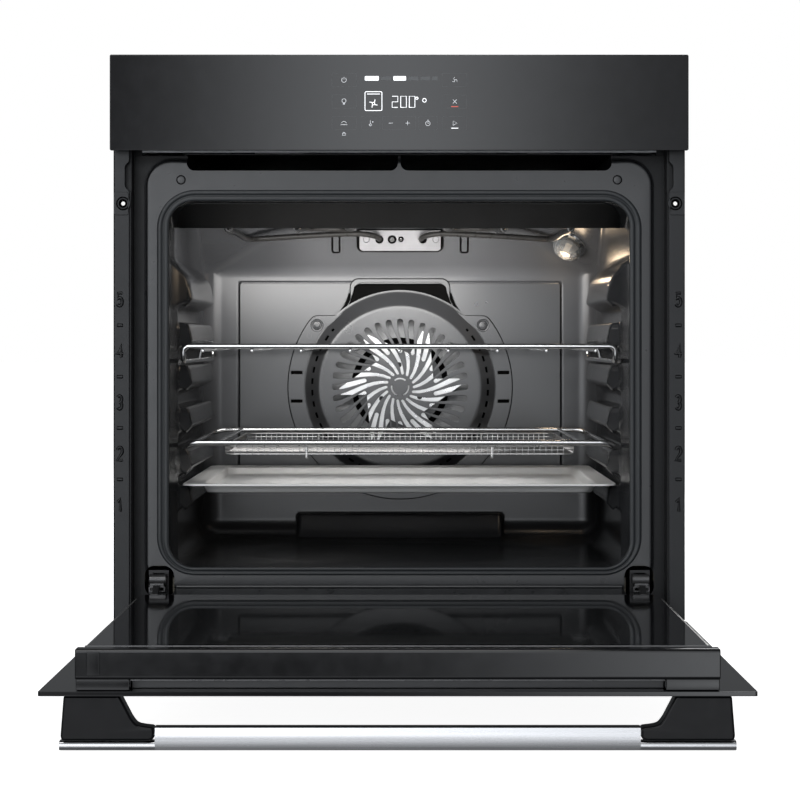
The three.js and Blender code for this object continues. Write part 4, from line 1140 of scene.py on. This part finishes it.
def basket():
    low, high = span("basket_frame")
    front, rear = low[1] + 2.8, high[1] - 2.8
    bar = 193.6
    loop = tube("loop", rack_loop(227.5, front, rear, bar, 189.3, 10), 2.7, 14, True)
    bearers = [tube("bearer", [(side * 192, front, bar), (side * 192, rear, bar)], 2.2, 12) for _, side in SIDES]
    shown(joined("basket_carrier", [loop, *bearers], 60), "basket_rack", "chrome", "bright_wire", "basket_frame")
    low, high = span("mesh_basket")
    half, y0, y1, floor_z, rim = high[0], low[1], high[1], 180.6, high[2]
    rim_path = [(x, y, rim - 0.9) for x, y in rounded_rect(-half + 0.9, half - 0.9, y0 + 0.9, y1 - 0.9, 13, 6)]
    hem_path = [(x, y, floor_z + 0.6) for x, y in rounded_rect(-half + 1.4, half - 1.4, y0 + 1.4, y1 - 1.4, 12, 6)]
    pieces = [tube("rim", rim_path, 0.9, 8, True), tube("hem", hem_path, 0.6, 6, True)]
    pieces += wall_wires(half, y0, y1, floor_z, rim, 6.2)
    pieces += floor_wires(half, y0, y1, floor_z + 0.9, 2.07)
    for x in (-98, 98):
        for y in (y0 + 2.4, y1 - 2.4):
            pieces.append(tube("peg", [(x, y, rim - 1.5), (x, y, floor_z - 2.4), (x, y, floor_z - 4)], 1.5, 8))
    shown(joined("woven_basket", pieces, 60), "basket_rack", "mesh", "brushed_steel", "mesh_basket")


def baking_tray():
    low, high = span("baking_tray")
    middle, reach = (low[1] + high[1]) / 2, (high[1] - low[1]) / 2
    half, rim, under = high[0], high[2], low[2]
    profile = [(0.4, rim - 2.2, 14), (0, rim - 1.2, 14), (0.3, rim - 0.3, 14), (1.2, rim, 13), (2.4, rim - 0.2, 12.5),
               (4, rim - 0.9, 12), (18.5, rim - 0.9, 12), (20.4, rim - 1.2, 12), (21.4, rim - 2.4, 12),
               (23.2, under + 3.0, 14), (24.4, under + 1.4, 14), (29, under + 0.9, 16)]
    outer = [(inset - (0.5 if z < rim - 2 and inset > 10 else 0), z - 0.85, radius)
             for inset, z, radius in profile[::-1]]
    outer[-1] = (1.2, rim - 2.2, 13)
    rings = []
    for inset, z, radius in profile + outer:
        outline = rounded_rect(-half + inset, half - inset, middle - reach + inset, middle + reach - inset, radius, 8)
        rings.append([(x, y, z) for x, y in outline])
    walls = loft("walls", rings, True, 50)
    floor_outline = rounded_rect(-half + 28.8, half - 28.8, middle - reach + 28.8, middle + reach - 28.8, 16, 8)
    floor = plate("floor", [floor_outline], "top", under + 0.47, 0.86, 0.05)
    shown(joined("tray_pan", [walls, floor], 50), "baking_tray", "tray", "tray_steel", "baking_tray")


# ---- Door ----

def door_glass():
    """Three panes. The inner one is thinner by the mirror film that lies on its window."""
    film = 0.06
    for node, name, look, slot, radius, steps, bevel, spared in (
            ("door_outer_glass", "door_front_pane", "black_glass", "black_glass", 2.2, 5, 0.35, 0),
            ("door_middle_glass", "door_middle_pane", "clear", "clear_glass", 3, 5, 0.6, 0),
            ("door_inner_glass", "door_inner_pane", "door_print", "printed_glass", 5, 6, 0.7, film)):
        low, high = span(node)
        outline = rounded_rect(low[0], high[0], low[1], high[1], radius, steps)
        middle, thick = (low[2] + high[2]) / 2 - spared / 2, high[2] - low[2] - spared
        shown(plate(name, [outline], "top", middle, thick, bevel), "door", look, slot, node)
    window = rounded_rect(low[0] + 52, high[0] - 52, low[1] + 38, high[1] - 36, 8, 6)
    mirror = plate("door_inner_window", [window], "top", high[2] - film / 2, film, 0.005)
    shown(mirror, "door", "door_mirror", "printed_glass")


def door_cap():
    low, high = span("door_top_cap")
    front, back, top = low[1], high[1], high[2]
    underside = 19.6
    section = bend_corners([(front, underside), (front, top), (back, top), (back, underside)], 3, 5, True)
    ends = (low[0], low[0] + 0.8, high[0] - 0.8, high[0])
    rings = []
    for x, shrink in zip(ends, (0.8, 0, 0, 0.8)):
        middle = np.mean(np.array(section), axis=0)
        rings.append([(x, y + (middle[0] - y) * shrink / 8, z + (middle[1] - z) * shrink / 13) for y, z in section])
    bar = loft("bar", rings)
    blocks = [block("foot", (x0, front + 1.5, low[2]), (x1, back, underside + 1), 0.8)
              for x0, x1 in ((low[0] + 0.5, -222), (222, high[0] - 0.5))]
    tab = block("tab", (-257.5, front - 0.9, 23), (-246.5, front + 1, 43), 0.7)
    shown(joined("door_cap_rail", [bar, *blocks, tab]), "door", "cap", "grey_cap", "door_top_cap")
    upper = tube("upper", [(low[0] + 6, back + 1.6, 45.4), (high[0] - 6, back + 1.6, 45.4)], 0.85, 10)
    lower = tube("lower", [(-221, front + 1.2, underside - 0.1), (221, front + 1.2, underside - 0.1)], 0.6, 10)
    shown(joined("door_cap_beads", [upper, lower]), "door", "bead", "grey_cap")
    guide = block("door_air_guide", (-221.5, back + 1.5, 10.9), (221.5, back + 2.5, 38), 0.2)
    shown(guide, "door", "inner_guide", "grey_cap")


def handle():
    low, high = span("handle_post_right")
    front, back = low[1], high[1]
    outline = bend_corners([
        (230.5, 6.2), (277, 6.2), (279.6, -28), (278, -31.5), (206, -31.5), (201.9, -29.5), (202, -20.2),
        (211, -19.2), (216.5, -18), (220.5, -13.0)], 2.6, 5, True)
    post = plate("post", [outline], "front", (front + back) / 2, back - front, 2.2, 40)
    other = mirrored("handle_post_left_shape", post, 40)
    post.name = "handle_post_right_shape"
    shown(post, "door", "post", "black_plastic", "handle_post_right")
    shown(other, "door", "post", "black_plastic", "handle_post_left")
    low, high = span("handle_bar")
    half, front, back, bottom, top = high[0], low[1], high[1], low[2], high[2]

    def section(crown):
        """A bar with a bulging face and small rounded edges."""
        points = []
        height = crown - bottom
        for t in np.linspace(0, 1, 13):
            bulge = 4 * t * (1 - t)
            points.append((front + 0.9 * (1 - bulge), bottom + 0.9 + (height - 1.8) * t))
        points += [(front + 3.0, crown - 0.25), (front + 4.0, crown), (back - 2, crown), (back, crown - 2)]
        points += [(back, bottom + 2), (back - 2, bottom), (front + 4.0, bottom), (front + 3.0, bottom + 0.25)]
        return points

    wide, tall = section(-32.0), section(top)
    seam = 201.5
    rings = [[(x, y, z) for y, z in shape] for x, shape in (
        (-half, wide), (-seam, wide), (-seam + 0.02, tall), (seam - 0.02, tall), (seam, wide), (half, wide))]
    shown(loft("handle_grip", rings, False, 40), "door", "brushed", "brushed_steel", "handle_bar")


def hinge_springs():
    low, high = span("hinge_spring_right")
    x, z = (low[0] + high[0]) / 2, (low[2] + high[2]) / 2
    wire, radius = 1.1, (high[0] - low[0]) / 2 - 1.1
    start, end, turns = low[1], high[1], 34
    steps = turns * 12
    path = []
    for k in range(steps + 1):
        angle = 2 * math.pi * k / 12
        path.append((x + radius * math.cos(angle), start + (end - start) * k / steps, z + radius * math.sin(angle)))
    coil = tube("hinge_coil_right", path, wire, 6)
    other = mirrored("hinge_coil_left", coil, 60)
    shown(coil, "door", "zinc", "zinc_steel", "hinge_spring_right")
    shown(other, "door", "zinc", "zinc_steel", "hinge_spring_left")


def hinge_latches():
    """The roller and slotted latch in each hinge pocket."""
    low, high = span("hinge_latch_right")
    wide = high[0] - low[0]
    roller = turned("roller", [(0, 0), (4.7, 0), (5.5, 0.8), (5.5, wide - 0.8), (4.7, wide), (0, wide)],
                    (low[0], 20.6, 51.2), (1, 0, 0), 32)
    loop = plate("loop", [rounded_rect(low[0] + 0.3, high[0] - 0.3, low[2] + 0.2, 45.0, 1.6, 4),
                          rounded_rect(low[0] + 2.2, high[0] - 2.2, low[2] + 1.9, 43.4, 0.8, 3)], "front", 12.5, 4, 0.4)
    tongue = block("tongue", (low[0] + 2, 10.8, 44.2), (high[0] - 2, 20.6, 48), 0.4)
    latch = joined("hinge_latch_right_shape", [roller, loop, tongue])
    other = mirrored("hinge_latch_left_shape", latch)
    for name, piece in (("hinge_latch_right", latch), ("hinge_latch_left", other)):
        shown(piece, name, "latch", "zinc_steel", name)


# ---- Control panel ----

def line_print(paths, surface, width):
    """Printed lines on the panel: thin flat strips."""
    strips = []
    section = [(-0.03, -width / 2), (0.03, -width / 2), (0.03, width / 2), (-0.03, width / 2)]
    for path in paths:
        spine = [np.array((x, surface, z)) for x, z in path]
        rings = []
        for i, point in enumerate(spine):
            run = unit(spine[min(i + 1, len(spine) - 1)] - spine[max(i - 1, 0)])
            side = np.cross(run, (0, 1, 0))
            rings.append([point + np.array((0, a, 0)) + side * b for a, b in section])
        strips.append(loft("strip", rings, False))
    return strips


def closed(points):
    return [*points, points[0]]


SEGMENTS = {
    "2": [[(0, 1), (1, 1), (1, 0.5), (0, 0.5), (0, 0), (1, 0)]],
    "0": [[(0, 0), (0, 1), (1, 1), (1, 0), (0, 0)]],
}


def control_panel():
    low, high = span("control_glass")
    outline = rounded_rect(low[0], high[0], low[2], high[2], 1.6, 4)
    pane = plate("control_pane", [outline], "front", (low[1] + high[1]) / 2, high[1] - low[1], 0.6)
    shown(pane, "oven_body", "black_glass", "black_glass", "control_glass")
    surface = low[1] - 0.03
    mid = (low[2] + high[2]) / 2
    left, right = -56.7, 57.1
    upper, centre, lower = mid + 23, mid + 0.9, mid - 21.3

    def at(x, z, points):
        return [(x + a, z + b) for a, b in points]

    symbols = (
        (left, upper, [arc(0, 0, 2.4, 125, 415, 16), [(0, 0.6), (0, 3)]]),
        (left, centre, [closed(circle(0, 0.8, 2.1, 16)), [(-0.9, -2.2), (0.9, -2.2)],
                        [(-0.7, -1.3), (-0.7, -2.9), (0.7, -2.9), (0.7, -1.3)]]),
        (left, lower, [[(-3.4, -1.6), (3.4, -1.6)], arc(0, -0.8, 2.6, 15, 165, 10)]),
        (left, lower - 11, [closed([(-1.6, -1.4), (1.6, -1.4), (1.6, 0.6), (-1.6, 0.6)]),
                            arc(0, 0.6, 1.0, 0, 180, 8)]),
        (right, centre, [[(-2, -2), (2, 2)], [(-2, 2), (2, -2)]]),
        (right, lower, [closed([(-1.6, -2.3), (2.4, 0), (-1.6, 2.3)])]),
        (8.6, lower, [[(-2.2, 0), (2.2, 0)], [(0, -2.2), (0, 2.2)]]),
        (-8.5, lower, [[(-2.2, 0), (2.2, 0)]]),
        (29.5, lower, [closed(circle(0, -0.3, 2.3, 16)), [(0, 1), (0, -0.3), (1, -0.3)], [(-0.8, 3), (0.8, 3)]]),
        (-29, lower, [closed(circle(-0.6, -1.8, 1.1, 12)), [(-0.6, -0.7), (-0.6, 2.8)],
                      [(1.2, 1.2), (2.6, 1.2)], [(1.9, 0.5), (1.9, 1.9)]]),
    )
    bright = [at(x, z, stroke) for x, z, strokes in symbols for stroke in strokes]
    for k in range(3):
        angle = math.radians(90 + 120 * k)
        tip = (2.9 * math.cos(angle), 2.9 * math.sin(angle))
        bend = (1.8 * math.cos(angle + 0.9), 1.8 * math.sin(angle + 0.9))
        bright.append(at(right, upper, [(0, 0), bend, tip]))
    shown(joined("panel_symbols", line_print(bright, surface, 0.42)), "oven_body", "print", "black_glass")
    for name, z, look in (("start_underline", lower, "lit_print"), ("stop_underline", centre, "red_print")):
        underline = [at(right, z - 5.2, [(-3.6, 0), (3.6, 0)])]
        shown(joined(name, line_print(underline, surface, 0.8)), "oven_body", look, "black_glass")
    lit = []
    for digit, x in (("2", -7.2), ("0", 1.6), ("0", 10.4)):
        for stroke in SEGMENTS[digit]:
            lit.append([(x + a * 5.8, mid - 5.1 + b * 11.4) for a, b in stroke])
    lit.append(closed(circle(18.2, mid + 4.3, 1.2, 12)))
    frame_box = rounded_rect(-35.1, -17.7, mid - 8.4, mid + 11, 1.2, 3)
    lit.append(closed(frame_box))
    lit += [[(-33, mid + 8.6), (-19.8, mid + 8.6)], closed(circle(-26.4, mid - 1.2, 1.3, 10))]
    for k in range(4):
        angle = math.radians(45 + 90 * k)
        lit.append([(-26.4 + r * math.cos(angle + r * 0.1), mid - 1.2 + r * math.sin(angle + r * 0.1))
                    for r in (1.6, 3, 4.4)])
    lit.append(closed(circle(26, mid + 2.1, 1.9, 14)))
    strips = line_print(lit, surface, 0.75)
    for x0, x1 in ((-35.3, -20.9), (-5.9, 7.1)):
        pill = rounded_rect(x0, x1, mid + 22.4, mid + 27, 0.9, 3)
        strips.append(plate("pill", [pill], "front", surface, 0.06, 0.01))
    shown(joined("display_digits", strips), "oven_body", "lit_print", "black_glass")
    dim = []
    for x0, x1 in ((-18.6, -8), (9.6, 20), (22, 32), (34, 39.6)):
        dim.append(plate("pill", [rounded_rect(x0, x1, mid + 22.8, mid + 26.6, 0.7, 3)], "front", surface, 0.06, 0.01))
    tiles = ((-38.6, -19.7), (-17.1, 17), (20, 39))
    lines = [closed(rounded_rect(x0, x1, lower - 6.8, lower + 6.9, 1, 3)) for x0, x1 in tiles]
    lines += [closed(rounded_rect(x0, x1, z - 6.8, z + 6.8, 1, 3))
              for x0, x1 in ((44.2, 69.4), (-69, -44)) for z in (upper, centre, lower)]
    shown(joined("panel_tiles", dim + line_print(lines, surface, 0.16)), "oven_body", "dim_print", "black_glass")


# ---- Parts that keep their CAD shape ----

def carried_over():
    """Looks and rounded edges for the CAD nodes that no new piece replaces."""
    looks = {
        "galvanised": ["casing_left", "casing_right", "casing_top", "base_panel", "rear_panel", "top_partition",
                       "blower_housing"],
        "dark_zinc": ["hinge_receiver_left", "hinge_receiver_right", "hinge_arm_left", "hinge_arm_right"],
        "zinc": ["fan_motor", "blower_motor", "temperature_probe", "hinge_channel_left", "hinge_channel_right",
                 "door_side_profile_left", "door_side_profile_right", "door_bottom_rail"],
        "plastic": ["control_carrier", "terminal_box", "blower_wheel", "air_duct"],
        "wool": ["insulation_wrap"],
        "ceramic": ["lamp_socket"],
        "board": ["control_board", "power_board"],
    }
    for look, names in looks.items():
        for name in names:
            node = frame["nodes"][name]
            node.data.materials.clear()
            node.data.materials.append(LOOKS[look])
            soften(node, 0.15 if look == "galvanised" else 0.4)


# ---- Camera, floor and light ----

def aim(obj, location, target):
    obj.location = location
    obj.rotation_euler = (Vector(target) - Vector(location)).to_track_quat("-Z", "Y").to_euler()


def area_light(name, location, target, size, power, color=(1, 1, 1)):
    light = bpy.data.lights.new(name, "AREA")
    light.shape = "RECTANGLE"
    light.size, light.size_y = size
    light.energy = power
    light.color = color
    obj = bpy.data.objects.new(name, light)
    aim(obj, location, target)
    bpy.context.scene.collection.objects.link(obj)
    return obj


def camera():
    view = bpy.data.cameras.new("camera")
    view.lens = 104.76
    view.sensor_width = 36
    view.shift_x = -0.00625
    view.shift_y = -0.07
    view.clip_end = 60
    obj = bpy.data.objects.new("camera", view)
    obj.location = (0.006, -2.414, 0.2975)
    obj.rotation_euler = (math.pi / 2, 0, 0)
    bpy.context.scene.collection.objects.link(obj)
    bpy.context.scene.camera = obj


def math_node(tree, operation, *values):
    node = tree.nodes.new("ShaderNodeMath")
    node.operation = operation
    for socket, value in zip(node.inputs, values):
        if isinstance(value, (int, float)):
            socket.default_value = value
        else:
            tree.links.new(value, socket)
    return node.outputs[0]


def hill(tree, value, middle, width):
    """A smooth hill: one at the middle, and near zero two widths away."""
    offset = math_node(tree, "DIVIDE", math_node(tree, "SUBTRACT", value, middle), width)
    power = math_node(tree, "MULTIPLY", math_node(tree, "MULTIPLY", offset, offset), -1.0)
    return math_node(tree, "EXPONENT", power)


def world():
    """White behind the object, and a soft studio by direction for its light and reflections."""
    scene_world = bpy.data.worlds.new("studio")
    bpy.context.scene.world = scene_world
    scene_world.use_nodes = True
    tree = scene_world.node_tree
    nodes, links = tree.nodes, tree.links
    nodes.clear()

    def calc(operation, *values):
        return math_node(tree, operation, *values)

    place = nodes.new("ShaderNodeTexCoord")
    parts = nodes.new("ShaderNodeSeparateXYZ")
    links.new(place.outputs["Generated"], parts.inputs[0])
    ahead = calc("MAXIMUM", calc("MULTIPLY", parts.outputs[1], -1.0), 0.03)
    across = calc("DIVIDE", parts.outputs[0], ahead)
    up = calc("DIVIDE", parts.outputs[2], ahead)
    broad = calc("MULTIPLY", hill(tree, across, -0.25, 0.42), hill(tree, up, 0.1, 0.36))
    broad = calc("MULTIPLY_ADD", broad, 3.6, 0.13)
    panel = calc("MULTIPLY_ADD", hill(tree, across, -0.006, 0.076), 2.6, 0.3)
    panel = calc("MULTIPLY_ADD", across, 0.9, panel)
    strip = calc("MULTIPLY", hill(tree, up, 0.104, 0.045), calc("LESS_THAN", calc("ABSOLUTE", across), 0.2))
    strip = calc("MINIMUM", calc("MULTIPLY", strip, 1.5), 1.0)
    low_side = calc("MULTIPLY_ADD", hill(tree, across, 0.17, 0.11), 2.7, 0.12)
    low_side = calc("MULTIPLY_ADD", hill(tree, across, -0.2, 0.08), 0.5, low_side)
    low_strip = calc("MINIMUM", calc("MULTIPLY", hill(tree, up, -0.14, 0.04), 1.5), 1.0)

    def blend(first, second, share):
        keep = calc("SUBTRACT", 1.0, share)
        return calc("ADD", calc("MULTIPLY", first, keep), calc("MULTIPLY", second, share))

    strength = blend(blend(broad, low_side, low_strip), panel, strip)
    output = nodes.new("ShaderNodeOutputWorld")
    seen = nodes.new("ShaderNodeBackground")
    seen.inputs["Color"].default_value = (1, 1, 1, 1)
    soft = nodes.new("ShaderNodeBackground")
    soft.inputs["Color"].default_value = (0.93, 0.96, 1.0, 1)
    links.new(strength, soft.inputs["Strength"])
    path = nodes.new("ShaderNodeLightPath")
    mix = nodes.new("ShaderNodeMixShader")
    links.new(path.outputs["Is Camera Ray"], mix.inputs["Fac"])
    links.new(soft.outputs["Background"], mix.inputs[1])
    links.new(seen.outputs["Background"], mix.inputs[2])
    links.new(mix.outputs["Shader"], output.inputs["Surface"])


def floor():
    low, _ = CAD_BOX
    size = 40.0
    mesh = bpy.data.meshes.new("floor")
    z = low.z - 0.0006
    mesh.from_pydata([(-size, -size, z), (size, -size, z), (size, size, z), (-size, size, z)], [], [(0, 1, 2, 3)])
    ground = bpy.data.objects.new("floor", mesh)
    bpy.context.scene.collection.objects.link(ground)
    ground.data.materials.append(material("floor_paint", (0.8, 0.8, 0.8), roughness=(0.85, 0.95), mottle=0.01,
                                          grain=2, Emission_Color=(1, 1, 1, 1), Emission_Strength=0.93))
    ground.visible_diffuse = False
    ground.visible_glossy = False


def studio():
    area_light("overhead", (-0.5, -2.2, 2.3), (0, 0, 0.3), (1.8, 1.0), 22)
    area_light("left_box", (-2.3, -1.0, 0.9), (0, 0, 0.3), (0.9, 2.0), 20)
    area_light("right_box", (2.5, -0.6, 0.9), (0, 0, 0.3), (0.7, 2.0), 7)
    area_light("back_box", (0.6, 2.6, 1.8), (0, 0.4, 0.3), (2.0, 1.6), 40)
    inside = area_light("cavity_glow", (-0.085, 0.085, 0.4), (-0.05, 0.44, 0.37), (0.34, 0.1), 0.88, (1.0, 0.98, 0.96))
    upward = area_light("slope_glow", (-0.005, 0.29, 0.345), (-0.005, 0.43, 0.42), (0.28, 0.05), 1.8, (1.0, 0.97, 0.94))
    tray_glow = area_light("tray_glow", (0, 0.23, 0.197), (0, 0.2301, 0.15), (0.36, 0.2), 1.1)
    floor_glow = area_light("floor_glow", (-0.1, 0.1, 0.135), (-0.21, 0.3, 0.08), (0.1, 0.03), 0.12, (1.0, 0.93, 0.85))
    for light in (inside, upward, tray_glow, floor_glow):
        light.visible_camera = False
        light.visible_glossy = light is inside


camera()
world()
floor()
studio()
front_frame()
frame_lip()
for trim_name, trim_side in SIDES:
    side_trim(trim_name, trim_side)
door_seal()
cavity_shell()
ceiling_lip_shade()
baffle()
fan_cover()
fan_wheel()
ring_heater()
grill_heater()
floor_heater()
lamp()
upper_rack()
basket()
baking_tray()
door_glass()
door_cap()
handle()
hinge_springs()
hinge_latches()
control_panel()
carried_over()

scene = bpy.context.scene
scene.view_settings.view_transform = "Standard"
scene.cycles.use_denoising = True
scene.cycles.caustics_reflective = False
scene.cycles.caustics_refractive = False
scene.cycles.sample_clamp_indirect = 1.2
scene.cycles.blur_glossy = 1.0
